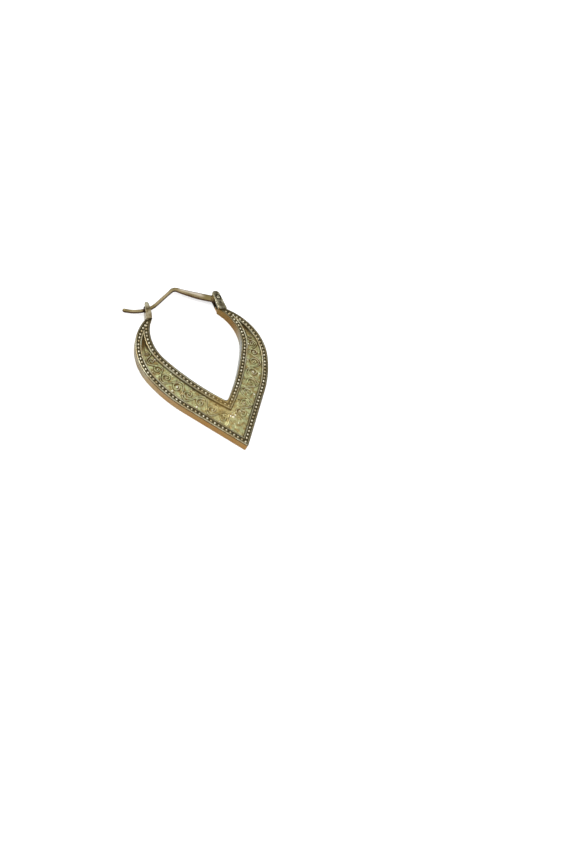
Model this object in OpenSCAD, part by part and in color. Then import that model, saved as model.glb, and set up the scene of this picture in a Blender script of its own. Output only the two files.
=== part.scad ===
// Drop earring: a pointed, open hoop with milgrain borders and scroll relief,
// an ear wire hinged between two ears on one arm, and a forked catch on the other.
// The hoop lies on its flat back, its point towards -Y and its ear wire towards +Y.

/* [Hoop] */
// Thickness of the hoop, from its flat back to its rims
hoop_t = 1.9; // [1.7:0.1:2.1]
// Half of the angle between the two outer sides at the point, in degrees
point_half_angle = 39; // [38.5:0.5:39.5]
// Straight length of each outer side, up from the point
outer_straight = 13.7; // [13.5:0.1:13.9]
// Radius of the outer edge above the straight length
outer_low_r = 26.5; // [26:0.5:27]
// Radius of the outer edge round the shoulder
outer_high_r = 11.9; // [11.8:0.1:12]
// Height of the opening's lowest corner above the point
opening_low = 10.2; // [10:0.1:10.4]
// Half of the angle of the opening's lowest corner, in degrees
opening_half_angle = 44; // [43.5:0.5:44.5]
// Radius of the opening's long lower edge
inner_low_r = 49.5; // [49:0.5:50]
// Radius of the opening round the shoulder
inner_high_r = 9.45; // [9.4:0.05:9.5]

/* [Borders] */
// Width of the plain rim outside each milgrain groove
rim_w = 0.34; // [0.3:0.02:0.38]
// Width of each milgrain groove
groove_w = 0.66; // [0.62:0.02:0.7]
// Depth of each milgrain groove
groove_d = 0.3; // [0.25:0.05:0.35]
// Width of the thin rim between a groove and the field
inner_rim_w = 0.26; // [0.22:0.02:0.3]
// Diameter of a milgrain bead
bead_d = 0.54; // [0.5:0.02:0.56]
// Distance from one bead to the next
bead_pitch = 0.83; // [0.8:0.01:0.9]

/* [Relief] */
// Depth of the field below the rims
field_d = 0.42; // [0.38:0.02:0.46]
// Height of the scrolls above the field
relief_h = 0.28; // [0.2:0.02:0.34]
// Width of a scroll at its foot
scroll_w = 0.34; // [0.3:0.02:0.38]

/* [Ear wire] */
// Diameter of the round ear wire
wire_d = 0.76; // [0.7:0.02:0.8]
// Thickness of the flattened end that sits between the ears
paddle_t = 0.62; // [0.58:0.02:0.66]
// Diameter of the eye at the flattened end
eye_d = 1.72; // [1.6:0.04:1.76]
// Radius of the bend at the top of the ear wire
peak_r = 1.3; // [1.2:0.1:1.4]

/* [Hinge and catch] */
// Width of the slot between the catch's two prongs
slot_w = 0.86; // [0.84:0.02:0.9]
// Width of the slot between the hinge's two ears
ear_slot_w = 0.72; // [0.7:0.02:0.76]
// Diameter of the hinge pin
pin_d = 0.7; // [0.66:0.02:0.74]
// Radial clearance of the pin in the turning eye
eye_clearance = 0.04; // [0.03:0.01:0.06]
// Radial clearance of the pin in the ears
ear_clearance = 0.015; // [0.01:0.005:0.02]

/* [Hidden] */
$fn = 48;
// Sides of a full turn: of the long arcs, of a bead, of a leaf's arcs and of the wire
path_sides = 96;
bead_sides = 24;
leaf_sides = 64;
wire_sides = 32;
// How far a cutter reaches past the surface that it cuts
past = 1;

// A path is a list of stretches [radius, turn]: a turn to the left is positive, in degrees.
// A straight stretch has a radius of 0, and its second number is its length.
// A place on a path is [x, y, heading], the heading in degrees from +X.
outer_start = [0, 0, 90 - point_half_angle];
outer_path = [[0, outer_straight], [outer_low_r, 19.5], [outer_high_r, 74.5]];
inner_start = [0, opening_low, 90 - opening_half_angle];
inner_path = [[inner_low_r, 16.8], [inner_high_r, 64.4]];

function length_of(row) = row[0] == 0 ? row[1] : abs(row[0]) * abs(row[1]) * PI / 180;
function arc_step(p, r, side, turn) = [
    p[0] - side * r * sin(p[2]) + side * r * sin(p[2] + turn),
    p[1] + side * r * cos(p[2]) - side * r * cos(p[2] + turn),
    p[2] + turn
];
function step(p, row) =
    row[0] == 0 ? [p[0] + row[1] * cos(p[2]), p[1] + row[1] * sin(p[2]), p[2]]
    : arc_step(p, row[0], row[1] > 0 ? 1 : -1, row[1]);
function place_after(path, start, n) = n == 0 ? start : step(place_after(path, start, n - 1), path[n - 1]);
// The place at distance s along a path, and then moved to the left by u.
function place_at(path, start, s, i = 0) =
    let (row = path[i], len = length_of(row), share = s / len)
    s <= len || i == len(path) - 1 ? step(start, [row[0], row[1] * share])
    : place_at(path, step(start, row), s - len, i + 1);
function beside(p, u) = [p[0] - u * sin(p[2]), p[1] + u * cos(p[2])];
function path_length(path, i = 0) = i == len(path) ? 0 : length_of(path[i]) + path_length(path, i + 1);

// The ear wire's line, from the hinge over its peak and down through the catch to its tail
pin_at = [8.6, 35.2];
wire_start = [pin_at[0], pin_at[1], 161];
wire_path = [[37, -13.4], [peak_r, 66.4], [0, 5.26], [7, -60]];
wire_r = wire_d / 2;
mid_z = hoop_t / 2;
peak_start = place_after(wire_path, wire_start, 1);
peak_y = peak_start[1] + peak_r * (1 + cos(peak_start[2]));

// The point is blunted by this much, and the origin is under the middle of the whole length.
point_blunt = 0.15;
whole_length = peak_y + wire_r - point_blunt;
origin_y = point_blunt + whole_length / 2;

// Heights, and places across a border, counted from its edge
rim_z = hoop_t;
groove_z = hoop_t - groove_d;
field_z = hoop_t - field_d;
groove_to = rim_w + groove_w;
border_w = groove_to + inner_rim_w;
bead_row = rim_w + groove_w / 2;
overlap = 0.05;

// Children draw a cross-section that follows the path, its x counted to the left times $side.
module follow(path, start) {
    for (i = [0:len(path) - 1]) {
        p = place_after(path, start, i);
        r = path[i][0];
        turn = path[i][1];
        translate([p[0], p[1], 0])
            rotate(p[2]) {
                if (r == 0)
                    rotate([90, 0, 90]) linear_extrude(turn)
                        let ($side = 1) children();
                if (r > 0 && turn > 0)
                    translate([0, r, 0]) rotate(-90) rotate_extrude(angle = turn, $fn = path_sides)
                        translate([r, 0]) let ($side = -1) children();
                if (r > 0 && turn < 0)
                    translate([0, -r, 0]) rotate(90 + turn) rotate_extrude(angle = -turn, $fn = path_sides)
                        translate([r, 0]) let ($side = 1) children();
            }
    }
}

// Points along the right half of an edge, from the middle line up to the arm's end. They lie at the
// distance u inside the metal, which is to the left of the outer edge and to the right of the inner one.
arc_step_deg = 5;
function steps_of(row) = row[0] == 0 ? 1 : ceil(abs(row[1]) / arc_step_deg);
function stretch_points(path, start, u) = [
    for (i = [0:len(path) - 1], k = [1:steps_of(path[i])])
        beside(step(place_after(path, start, i), [path[i][0], path[i][1] * k / steps_of(path[i])]), u)
];
function outer_line(u) =
    concat([[0, u / sin(point_half_angle)]], stretch_points(outer_path, outer_start, u));
function inner_line(u) =
    concat([[0, opening_low - u / sin(opening_half_angle)]], stretch_points(inner_path, inner_start, -u));
// A line of points from the left arm round the middle to the right arm
function both_arms(line) = concat(
    [for (i = [len(line) - 1:-1:1]) [-line[i][0], line[i][1]]],
    line
);
function reversed(line) = [for (i = [len(line) - 1:-1:0]) line[i]];
function below(line, top) = [for (p = line) if (p[1] < top) p];
module strip(line_a, line_b, z_from, z_to) {
    translate([0, 0, z_from])
        linear_extrude(z_to - z_from)
            polygon(concat(both_arms(line_a), reversed(both_arms(line_b))));
}

// The pointed band, with a groove along each edge and the sunk field between the two borders
field_top = 29.4;
module band() {
    difference() {
        strip(outer_line(0), inner_line(0), 0, rim_z);
        strip(outer_line(rim_w), outer_line(groove_to), groove_z, rim_z + past);
        strip(inner_line(rim_w), inner_line(groove_to), groove_z, rim_z + past);
        strip(
            below(outer_line(border_w), field_top), below(inner_line(border_w), field_top),
            field_z, rim_z + past
        );
    }
}

// Milgrain: beads along the middle of each groove, the inner row stopping where the two rows meet.
// Each row starts from its corner bead on the middle line, a little under one pitch away.
inner_bead_stop = 4.9;
outer_bead_stop = 0.9;
outer_first_step = 0.62;
inner_first_step = 0.75;
module bead_at(p) { translate([p[0], p[1], rim_z - bead_d / 2]) sphere(d = bead_d, $fn = bead_sides); }
module bead_row(path, start, u, from, to) {
    count = floor((to - from) / bead_pitch);
    for (i = [0:count])
        bead_at(beside(place_at(path, start, from + i * bead_pitch), u));
}
outer_bead_from = bead_row / tan(point_half_angle) + outer_first_step;
inner_bead_from = inner_first_step - bead_row / tan(opening_half_angle);
module milgrain_half() {
    bead_row(outer_path, outer_start, bead_row, outer_bead_from, path_length(outer_path) - outer_bead_stop);
    bead_row(inner_path, inner_start, -bead_row, inner_bead_from, path_length(inner_path) - inner_bead_stop);
}

// The vine crosses the middle of the band at these places: [distance along the outer edge, distance in].
// Between two of them it swings to one side, and the next time to the other.
vine_row = [
    [5.5, 2.75], [8.6, 3.1], [11.6, 3.12], [14.6, 3.13], [17.5, 3.1],
    [20.3, 3], [22.9, 2.85], [25.3, 2.68], [27.4, 2.45], [29.2, 2.18]
];
vine = [for (v = vine_row) beside(place_at(outer_path, outer_start, v[0]), v[1])];
scroll_top_w = 0.16;
node_gap = 5;
bud_d = 0.4;
// The curl inside a bend, as shares of the bend's radius, and the angle that it turns through
curl_r_share = 0.5;
curl_ahead_share = 0.06;
curl_size = 0.85;
curl_turn = 210;
berry_share = 0.3;
// The leaf across from the curl, as shares of the bend's radius
leaf_across_share = 0.98;
leaf_length_share = 1.04;
leaf_width_share = 0.3;
leaf_h = relief_h * 0.8;

// A raised rib along part of a circle, from angle a through the angle turn
module rib(centre, r, a, turn, w = scroll_w, h = relief_h) {
    foot_z = field_z - overlap;
    translate([centre[0], centre[1], foot_z])
        rotate(a)
            rotate_extrude(angle = turn)
                translate([r, 0])
                    polygon([
                        [-w / 2, 0], [w / 2, 0], [w / 2, overlap],
                        [scroll_top_w / 2, h + overlap], [-scroll_top_w / 2, h + overlap], [-w / 2, overlap]
                    ]);
}

// A leaf: the lens between two arcs, from its foot at the place p along the direction a
module leaf(p, a, length, width) {
    r = (length * length / 4 + width * width / 4) / width;
    translate([p[0], p[1], field_z - overlap])
        rotate(a)
            linear_extrude(leaf_h + overlap)
                intersection() {
                    translate([length / 2, r - width / 2]) circle(r, $fn = leaf_sides);
                    translate([length / 2, width / 2 - r]) circle(r, $fn = leaf_sides);
                }
}

module bud(p, d) {
    translate([p[0], p[1], field_z - overlap]) cylinder(d = d, h = relief_h + overlap, $fn = bead_sides);
}

// One scroll: the vine's half circle, a curl inside it with its eye, and a leaf across from it
module scroll(from, to, side) {
    span = to - from;
    dir = atan2(span[1], span[0]);
    ahead = [cos(dir), sin(dir)];
    left = [-sin(dir), cos(dir)];
    r = norm(span) / 2;
    centre = (from + to) / 2;
    // The half circle bulges to the left of the line for side 1, and to the right for side -1.
    vine_a = side > 0 ? dir + node_gap : dir - 180 + node_gap;
    rib(centre, r, vine_a, 180 - 2 * node_gap);
    curl_at = centre + ahead * r * curl_ahead_share;
    curl_a = side > 0 ? dir - 150 : dir - 60;
    rib(curl_at, r * curl_r_share, curl_a, curl_turn, scroll_w * curl_size, relief_h * curl_size);
    bud(curl_at, r * berry_share);
    leaf_at = centre - side * left * r * leaf_across_share - ahead * r * leaf_length_share / 2;
    leaf(leaf_at, dir, r * leaf_length_share, r * leaf_width_share);
}

// The last leaf, in the narrow top of the field: [direction, length, width]
end_leaf = [118, 1.7, 0.4];
module scrolls() {
    for (i = [0:len(vine) - 2]) scroll(vine[i], vine[i + 1], i % 2 == 0 ? 1 : -1);
    for (p = vine) bud(p, bud_d);
    leaf(vine[len(vine) - 1], end_leaf[0], end_leaf[1], end_leaf[2]);
}

// The palmette fills the point with petals that fan down from a round hub.
// Each row is a petal, and its twin on the other side: [angle from straight down, length, width].
palmette_hub = [0, 6.75];
hub_d = 0.6;
petal_row = [[0, 3.8, 0.8], [26, 3, 0.62], [50, 2.2, 0.5]];
module palmette() {
    bud(palmette_hub, hub_d);
    for (petal = petal_row)
        for (side = petal[0] == 0 ? [1] : [-1, 1])
            leaf(palmette_hub, side * petal[0] - 90, petal[1], petal[2]);
}

// The catch: a plain tab that ends in two prongs, one in front of the wire and one behind it.
// Its outline goes up the side that faces the hinge, over the tip and down the outer side.
catch_at = [-7.6, 34.9];
catch_slope = 11;
catch_tip = [-7.42, 35.9];
catch_tip_r = 0.42;
catch_near_side = [[-7.85, 31.75], [-7.54, 32.01], [-7.36, 32.4], [-7.08, 33.5], [-7, 34.6]];
catch_far_side = [[-7.95, 34.7], [-8.28, 33.7], [-8.68, 32.7], [-9.02, 31.88], [-9.1, 31.55]];
catch_cut = [6, 4];
module catch_tab() {
    difference() {
        union() {
            linear_extrude(hoop_t)
                polygon(concat(
                    catch_near_side,
                    [[catch_tip[0] + catch_tip_r, catch_tip[1]], [catch_tip[0] - catch_tip_r, catch_tip[1]]],
                    catch_far_side
                ));
            translate([catch_tip[0], catch_tip[1], 0]) cylinder(r = catch_tip_r, h = hoop_t);
        }
        translate([catch_at[0], catch_at[1], mid_z])
            rotate(catch_slope) {
                rotate([0, 90, 0]) cylinder(d = slot_w, h = catch_cut[0], center = true);
                translate([-catch_cut[0] / 2, 0, -slot_w / 2]) cube([catch_cut[0], catch_cut[1], slot_w]);
            }
    }
}

// The hinge's two ears, with a slot between them for the wire's eye.
// Their foot lies on the arm's end, from its side towards the catch to its outer side.
ear_left = 7.58;
ear_right = 9.32;
ear_top = 36.9;
ear_r = (ear_right - ear_left) / 2;
ear_foot = [[ear_left, 32.06], [7.85, 31.8], [ear_right, 31.58]];
slot_foot = 32.7;
module hinge_ears() {
    difference() {
        union() {
            linear_extrude(hoop_t)
                polygon(concat(
                    [[ear_left, ear_top - ear_r]], ear_foot, [[ear_right, ear_top - ear_r]]
                ));
            translate([ear_left + ear_r, ear_top - ear_r, 0]) cylinder(r = ear_r, h = hoop_t);
        }
        translate([ear_left - past, slot_foot, mid_z - ear_slot_w / 2])
            cube([2 * (ear_r + past), ear_top - slot_foot + past, ear_slot_w]);
    }
}

// The pin's seats in the ears, and a small drilled mark below the rivet
head_d = 1.1;
head_seat = 0.16;
head_clearance = 0.05;
mark_d = 0.42;
mark_depth = 0.22;
mark_at = [8.52, 33.7];
module pin_bore(clearance) {
    translate([pin_at[0], pin_at[1], -past]) cylinder(r = pin_d / 2 + clearance, h = hoop_t + 2 * past);
}
module pin_seat() {
    pin_bore(ear_clearance);
    translate([pin_at[0], pin_at[1], hoop_t - head_seat]) cylinder(r = head_d / 2 + head_clearance, h = past);
    translate([mark_at[0], mark_at[1], hoop_t - mark_depth]) cylinder(d = mark_d, h = past);
}

module hoop_frame() {
    color("darkkhaki")
        difference() {
            union() {
                band();
                scrolls();
                mirror([1, 0, 0]) scrolls();
                palmette();
                milgrain_half();
                mirror([1, 0, 0]) milgrain_half();
                bead_at([0, bead_row / sin(point_half_angle)]);
                bead_at([0, opening_low - bead_row / sin(opening_half_angle)]);
                catch_tab();
                hinge_ears();
            }
            translate([-past, -past, -past]) cube([2 * past, past + point_blunt, hoop_t + 2 * past]);
            pin_seat();
        }
}

// The rivet: a shaft through both ears, with a low head in its seat at the front
pin_up = 0.02;
head_gap = 0.015;
head_h = 0.13;
module hinge_pin() {
    color("lightgoldenrodyellow")
        translate([pin_at[0], pin_at[1], 0]) {
            translate([0, 0, pin_up]) cylinder(d = pin_d, h = hoop_t - head_seat);
            translate([0, 0, hoop_t - head_seat + head_gap]) cylinder(d = head_d, h = head_h);
        }
}

// The ear wire: its flattened end tapers from the eye to the round wire, which starts inside it.
paddle_steps = 6;
paddle_from = 0.4;
paddle_length = 7.6;
paddle_w = 1.68;
round_from = 6.3;
function paddle_half_w(share) = (paddle_w + (wire_d - paddle_w) * share) / 2;
function paddle_edge(share, side) =
    beside(place_at(wire_path, wire_start, paddle_from + paddle_length * share), side * paddle_half_w(share));
module paddle() {
    left = [for (i = [0:paddle_steps]) paddle_edge(i / paddle_steps, 1)];
    right = [for (i = [paddle_steps:-1:0]) paddle_edge(i / paddle_steps, -1)];
    translate([0, 0, mid_z - paddle_t / 2]) linear_extrude(paddle_t) polygon(concat(left, right));
}

// A barely larger ball at each bend joins the stretches, and a rounded one ends the tail.
seam_swell = 1.03;
tail_swell = 1.1;
module wire_ball(p, d) {
    translate([p[0], p[1], mid_z]) rotate([0, 90, p[2]]) sphere(d = d, $fn = wire_sides);
}

module ear_wire() {
    round_start = place_at(wire_path, wire_start, round_from);
    first_turn = wire_path[0][1] * (1 - round_from / length_of(wire_path[0]));
    round_path = concat([[wire_path[0][0], first_turn]], [for (i = [1:len(wire_path) - 1]) wire_path[i]]);
    color("rosybrown")
        difference() {
            union() {
                translate([pin_at[0], pin_at[1], mid_z]) cylinder(d = eye_d, h = paddle_t, center = true);
                paddle();
                translate([0, 0, mid_z]) follow(round_path, round_start) circle(d = wire_d, $fn = wire_sides);
                for (i = [1:len(wire_path) - 1])
                    wire_ball(place_after(wire_path, wire_start, i), wire_d * seam_swell);
                wire_ball(place_after(wire_path, wire_start, len(wire_path)), wire_d * tail_swell);
            }
            pin_bore(eye_clearance);
        }
}

translate([0, -origin_y, 0]) hoop_frame();
translate([0, -origin_y, 0]) hinge_pin();
translate([0, -origin_y, 0]) ear_wire();
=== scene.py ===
# %% [markdown]
# # A pointed drop earring
#
# The earring is a cast hoop that comes to a point. Two milgrain borders run round it, a vine
# scroll fills the field between them, and a hinged ear wire closes into a forked catch.
# Each lesson below makes one piece of it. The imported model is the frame: it gives the places
# and sizes, and every piece is made around it in the same coordinates.

# %% Load the frame
import math

import bmesh
import bpy
import numpy as np
from mathutils import Matrix, Vector


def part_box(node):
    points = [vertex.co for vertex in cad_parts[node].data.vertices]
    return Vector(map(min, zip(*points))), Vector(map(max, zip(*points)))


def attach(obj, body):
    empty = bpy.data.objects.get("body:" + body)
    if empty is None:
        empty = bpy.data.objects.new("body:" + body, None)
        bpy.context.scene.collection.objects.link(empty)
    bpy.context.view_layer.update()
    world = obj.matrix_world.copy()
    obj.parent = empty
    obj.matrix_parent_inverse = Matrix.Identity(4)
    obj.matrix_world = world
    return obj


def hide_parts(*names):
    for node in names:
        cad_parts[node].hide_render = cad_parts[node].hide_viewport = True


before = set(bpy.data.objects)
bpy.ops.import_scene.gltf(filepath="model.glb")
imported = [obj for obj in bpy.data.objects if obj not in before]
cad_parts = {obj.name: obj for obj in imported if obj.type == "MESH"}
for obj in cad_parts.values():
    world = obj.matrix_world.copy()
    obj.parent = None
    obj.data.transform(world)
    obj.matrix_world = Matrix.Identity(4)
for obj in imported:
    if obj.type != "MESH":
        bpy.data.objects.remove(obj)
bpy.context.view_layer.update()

print("frame nodes:", sorted(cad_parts))

# %% [markdown]
# ## Measures
#
# A jeweller thinks in millimetres, so the shapes are worked out in millimetres and become
# metres when a mesh is made. The thickness and the point of the hoop are read from the frame.
# The rest of the outline is the pattern's own: straights and arcs, written as rows of radius
# and turn, as a pattern maker would note them.

# %% Measures of the hoop
MM = 0.001
hoop_low, hoop_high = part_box("hoop_frame")
HOOP_T = hoop_high.z / MM
POINT_BLUNT = 0.15
POINT_Y = hoop_low.y / MM - POINT_BLUNT
MIDDLE_Z = HOOP_T / 2

POINT_HALF_ANGLE = math.radians(39)
OPENING_HALF_ANGLE = math.radians(44)
OPENING_LOW = 10.2
OUTER_START = (0.0, 0.0, math.radians(51))
OUTER_ROWS = [(0, 13.7), (26.5, 19.5), (11.9, 74.5)]
INNER_START = (0.0, OPENING_LOW, math.radians(46))
INNER_ROWS = [(49.5, 16.8), (9.45, 64.4)]

RIM_W = 0.34
GROOVE_W = 0.66
GROOVE_D = 0.3
INNER_RIM_W = 0.26
FIELD_D = 0.42
BEAD_D = 0.57
BEAD_PITCH = 0.83
GROOVE_TO = RIM_W + GROOVE_W
BORDER_W = GROOVE_TO + INNER_RIM_W
BEAD_ROW = RIM_W + GROOVE_W / 2
print(f"hoop is {HOOP_T:.2f} mm thick, its point at y = {POINT_Y:.2f} mm")

# %% [markdown]
# ## Camera
#
# The photograph looks down at the lying earring from in front and above, a little turned.
# The camera's place was worked out from the outlines of the earring: its height and distance
# in millimetres in the earring's own frame, and its turn. A camera is easiest to place by a
# matrix, whose columns are its right, its up and its back.

# %% Camera
CAMERA_DISTANCE = 126.13
CAMERA_ELEVATION = math.radians(53.21)
CAMERA_ROLL = math.radians(34.48)
EARRING_TURN = math.radians(55.0)
EARRING_POINT = Vector((-3.782, -9.804, 0))
PHOTO_FOCAL = 630.65
PHOTO_HEIGHT = 856
SENSOR = 36.0
CLIP_FROM, CLIP_TO = 0.005, 20


def add_object(name, data):
    """A new object in the scene. Its data is a mesh, a lamp or a camera."""
    thing = bpy.data.objects.new(name, data)
    bpy.context.scene.collection.objects.link(thing)
    return thing


def photo_camera():
    """The photograph's camera, moved from the table's frame into the earring's own."""
    back = Vector((0, -math.cos(CAMERA_ELEVATION), math.sin(CAMERA_ELEVATION)))
    place = back * CAMERA_DISTANCE
    level = Vector((1, 0, 0))
    upright = level.cross(-back)
    right = math.cos(CAMERA_ROLL) * level + math.sin(CAMERA_ROLL) * upright
    up = -math.sin(CAMERA_ROLL) * level + math.cos(CAMERA_ROLL) * upright
    unturn = Matrix.Rotation(-EARRING_TURN, 3, "Z")
    place = unturn @ (place - EARRING_POINT) + Vector((0, POINT_Y, 0))
    axes = [unturn @ axis for axis in (right, up, back)]
    matrix = Matrix([[axes[c][r] for c in range(3)] for r in range(3)]).to_4x4()
    matrix.translation = place * MM
    data = bpy.data.cameras.new("photo_camera")
    data.sensor_fit = "VERTICAL"
    data.sensor_height = SENSOR
    data.lens = SENSOR * PHOTO_FOCAL / PHOTO_HEIGHT
    data.clip_start = CLIP_FROM
    data.clip_end = CLIP_TO
    camera = add_object("photo_camera", data)
    camera.matrix_world = matrix
    bpy.context.scene.camera = camera
    return camera


camera = photo_camera()
print("camera at", [round(c / MM, 1) for c in camera.location], "mm, lens", round(camera.data.lens, 2))

# %% [markdown]
# ## Floor and light
#
# The photograph shows bright white paper and shadows so soft that they hardly show. So the lamps
# cast none, and only the room's own light dims under the metal. Metal shows what surrounds it,
# so the room matters more than the lamps: a grey room that brightens overhead gives the polished
# parts their dark and light sides. One broad lamp from behind the earring puts the bright spark
# on every milgrain bead, and a fainter one opens the near side.

# %% Floor and light
FLOOR_HALF = 1.5
PAPER = {
    "Base Color": (0.93, 0.93, 0.93, 1), "Roughness": 0.9, "Specular IOR Level": 0.1,
    "Emission Color": (1, 1, 1, 1), "Emission Strength": 0.1,
}
ROOM_LOW = (0.10, 0.095, 0.09, 1)
ROOM_HIGH = (0.97, 0.98, 1.0, 1)
ROOM_RISE = (0.05, 0.6)
ROOM_STRENGTH = 1.12
LAMP_ROWS = (
    # name, place, diameter, power in watts
    ("key_lamp", (-0.12, 0.30, 0.42), 0.16, 1.2),
    ("fill_lamp", (-0.40, -0.25, 0.35), 0.30, 0.8),
)


def floor():
    mesh = bpy.data.meshes.new("floor")
    corners = [(-1, -1), (1, -1), (1, 1), (-1, 1)]
    mesh.from_pydata([(x * FLOOR_HALF, y * FLOOR_HALF, 0) for x, y in corners], [], [(0, 1, 2, 3)])
    material = bpy.data.materials.new("floor_paper")
    material.use_nodes = True
    for name, value in PAPER.items():
        material.node_tree.nodes["Principled BSDF"].inputs[name].default_value = value
    mesh.materials.append(material)
    paper = add_object("floor", mesh)


def room():
    world = bpy.data.worlds.new("studio")
    bpy.context.scene.world = world
    world.use_nodes = True
    nodes, links = world.node_tree.nodes, world.node_tree.links
    direction = nodes.new("ShaderNodeTexCoord")
    height = nodes.new("ShaderNodeSeparateXYZ")
    ramp = nodes.new("ShaderNodeValToRGB")
    for stop, position, colour in zip(ramp.color_ramp.elements, ROOM_RISE, (ROOM_LOW, ROOM_HIGH)):
        stop.position = position
        stop.color = colour
    links.new(direction.outputs["Generated"], height.inputs[0])
    links.new(height.outputs["Z"], ramp.inputs["Fac"])
    links.new(ramp.outputs["Color"], nodes["Background"].inputs["Color"])
    nodes["Background"].inputs["Strength"].default_value = ROOM_STRENGTH


def soft_lamp(name, place, size, power):
    """A round lamp that points at the earring and casts no shadow."""
    data = bpy.data.lights.new(name, "AREA")
    data.shape = "DISK"
    data.size = size
    data.energy = power
    data.use_shadow = False
    lamp = add_object(name, data)
    lamp.location = place
    lamp.rotation_euler = (-Vector(place)).to_track_quat("-Z", "Y").to_euler()
    return lamp


floor()
room()
lamps = [soft_lamp(*row) for row in LAMP_ROWS]
bpy.context.scene.view_settings.view_transform = "Standard"
bpy.context.scene.view_settings.look = "None"
print("lamps:", [lamp.name for lamp in lamps])

# %% [markdown]
# ## Lines made of straights and arcs
#
# Both edges of the hoop and the ear wire are drawn the way they would be bent: so many
# millimetres straight, then an arc of a radius through an angle. One function walks such rows
# and gives the place and the heading at any distance. The borders run into sharp corners, but
# the outermost edge is worn to a small radius at the point and filled out in the opening's V.

# %% Walk along an edge
POINT_R = 0.25
OPENING_R = 0.7


def row_length(radius, amount):
    return amount if radius == 0 else radius * abs(math.radians(amount))


def total_length(rows):
    return sum(row_length(radius, amount) for radius, amount in rows)


def moved(place, radius, amount, distance):
    """The place and heading after a distance on a straight, or on an arc of this radius and turn."""
    x, y, heading = place
    if radius == 0:
        return x + distance * np.cos(heading), y + distance * np.sin(heading), heading + 0 * distance
    swing = math.copysign(radius, amount)
    turned = heading + distance / swing
    over = swing * (np.sin(turned) - np.sin(heading))
    up = swing * (np.cos(heading) - np.cos(turned))
    return x + over, y + up, turned


def along(start, rows, s):
    """x, y and heading at each distance s. Past the last row it goes on as that row does."""
    s = np.asarray(s, float)
    line = np.zeros((3, *s.shape))
    place, done = start, 0.0
    for radius, amount in rows:
        here = s >= done - 1e-9
        line[:, here] = moved(place, radius, amount, s[here] - done)
        length = row_length(radius, amount)
        place, done = moved(place, radius, amount, length), done + length
    return line


def beside(x, y, heading, u):
    """Moved to the left of the heading by u."""
    return x - u * np.sin(heading), y + u * np.cos(heading)


OUTER_LENGTH = total_length(OUTER_ROWS)
INNER_LENGTH = total_length(INNER_ROWS)


def outer_edge(s):
    """The right half of the outer edge, from the sharp point on."""
    return along(OUTER_START, OUTER_ROWS, s)


def inner_edge(s):
    """The right half of the opening's edge, from its sharp lowest corner on."""
    return along(INNER_START, INNER_ROWS, s)


def to_rounded_corner(origin, direction, corner_y, half_angle, radius):
    """How far along each row the corner's rounding is met. Rows that miss it give nan."""
    worn_y = corner_y + radius * math.cos(half_angle) ** 2 / math.sin(half_angle)
    (ox, oy), (dx, dy) = origin, direction
    oy = oy - corner_y - radius / math.sin(half_angle)
    along_row = -(ox * dx + oy * dy)
    inside = radius ** 2 - (ox ** 2 + oy ** 2 - along_row ** 2)
    meets = along_row - np.sqrt(np.clip(inside, 0, None))
    met_y = origin[1] + dy * meets
    return np.where((inside > 0) & (met_y < worn_y), meets, np.nan)


print(f"outer edge {OUTER_LENGTH:.2f} mm, opening's edge {INNER_LENGTH:.2f} mm, each side")

# %% [markdown]
# ## From points to a piece
#
# Every piece below ends in the same way: points in millimetres, counted from the hoop's point, and faces. The
# helper moves them into the frame, makes the mesh, turns its faces outwards if its volume comes out negative,
# and stores a mask of darkening at each point, which the materials read as an attribute. Mostly the mask says
# how deep a point lies in a hollow, because dirt and oxide stay where no cloth reaches. On some pieces it also
# carries painted shade, and where it is held low, a painted highlight.

# %% Make a piece


def smoothstep(edge_from, edge_to, value):
    """0 at one edge and 1 at the other, eased. The first edge may be the higher one."""
    t = np.clip((value - edge_from) / (edge_to - edge_from), 0, 1)
    return t * t * (3 - 2 * t)


def changing(start, end, low, high, value):
    """From low to high, eased, while the value goes from start to end."""
    return low + (high - low) * smoothstep(start, end, value)


def bell(middle, width, value):
    """1 where the value is in the middle, fading over the width to both sides."""
    return np.exp(-(((value - middle) / width) ** 2))


def set_attribute(mesh, name, values):
    layer = mesh.attributes.get(name) or mesh.attributes.new(name, "FLOAT", "POINT")
    layer.data.foreach_set("value", np.ravel(values).astype(np.float32))


def make_piece(name, points, faces, oxide_and_shade):
    """A mesh object from points in millimetres, in the hoop's own drawing."""
    placed = (np.asarray(points, float) + (0, POINT_Y, 0)) * MM
    mesh = bpy.data.meshes.new(name)
    mesh.from_pydata(placed.tolist(), [], faces)
    mesh.validate()
    solid = bmesh.new()
    solid.from_mesh(mesh)
    if solid.calc_volume(signed=True) < 0:
        bmesh.ops.reverse_faces(solid, faces=solid.faces)
        solid.to_mesh(mesh)
    solid.free()
    mesh.shade_smooth()
    set_attribute(mesh, "oxide_and_shade", oxide_and_shade)
    piece = add_object(name, mesh)
    print(f"{name}: {len(mesh.vertices)} points, {len(mesh.polygons)} faces")
    return piece


def mesh_points(piece):
    points = np.empty(len(piece.data.vertices) * 3, np.float32)
    piece.data.vertices.foreach_get("co", points)
    return points.reshape(-1, 3)


def loft_faces(rings, ring_size):
    """Faces between closed rings of points, and one face across each end."""
    i = np.arange(rings - 1)[:, None] * ring_size
    j = np.arange(ring_size)[None, :]
    k = (j + 1) % ring_size
    quads = np.stack([i + j, i + k, i + ring_size + k, i + ring_size + j], -1).reshape(-1, 4)
    faces = [tuple(quad) for quad in quads.tolist()]
    last = (rings - 1) * ring_size
    faces.append(tuple(range(ring_size - 1, -1, -1)))
    faces.append(tuple(range(last, last + ring_size)))
    return faces

# %% [markdown]
# ## Two effects that all the metals share
#
# Old gilt metal shows two things everywhere. Dark oxide stays in the hollows that no cloth reaches, and the
# gilding is a little cloudy. The first group also lays down painted shade, in the same dark colour, where a
# piece's mask marks it. And every surface carries fine marks of filing, polishing and wear. Each effect is a
# shader node group with named inputs, built once and set in every metal with that metal's own values. The
# shader itself stays in the material.

# %% Small helpers for node trees


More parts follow.
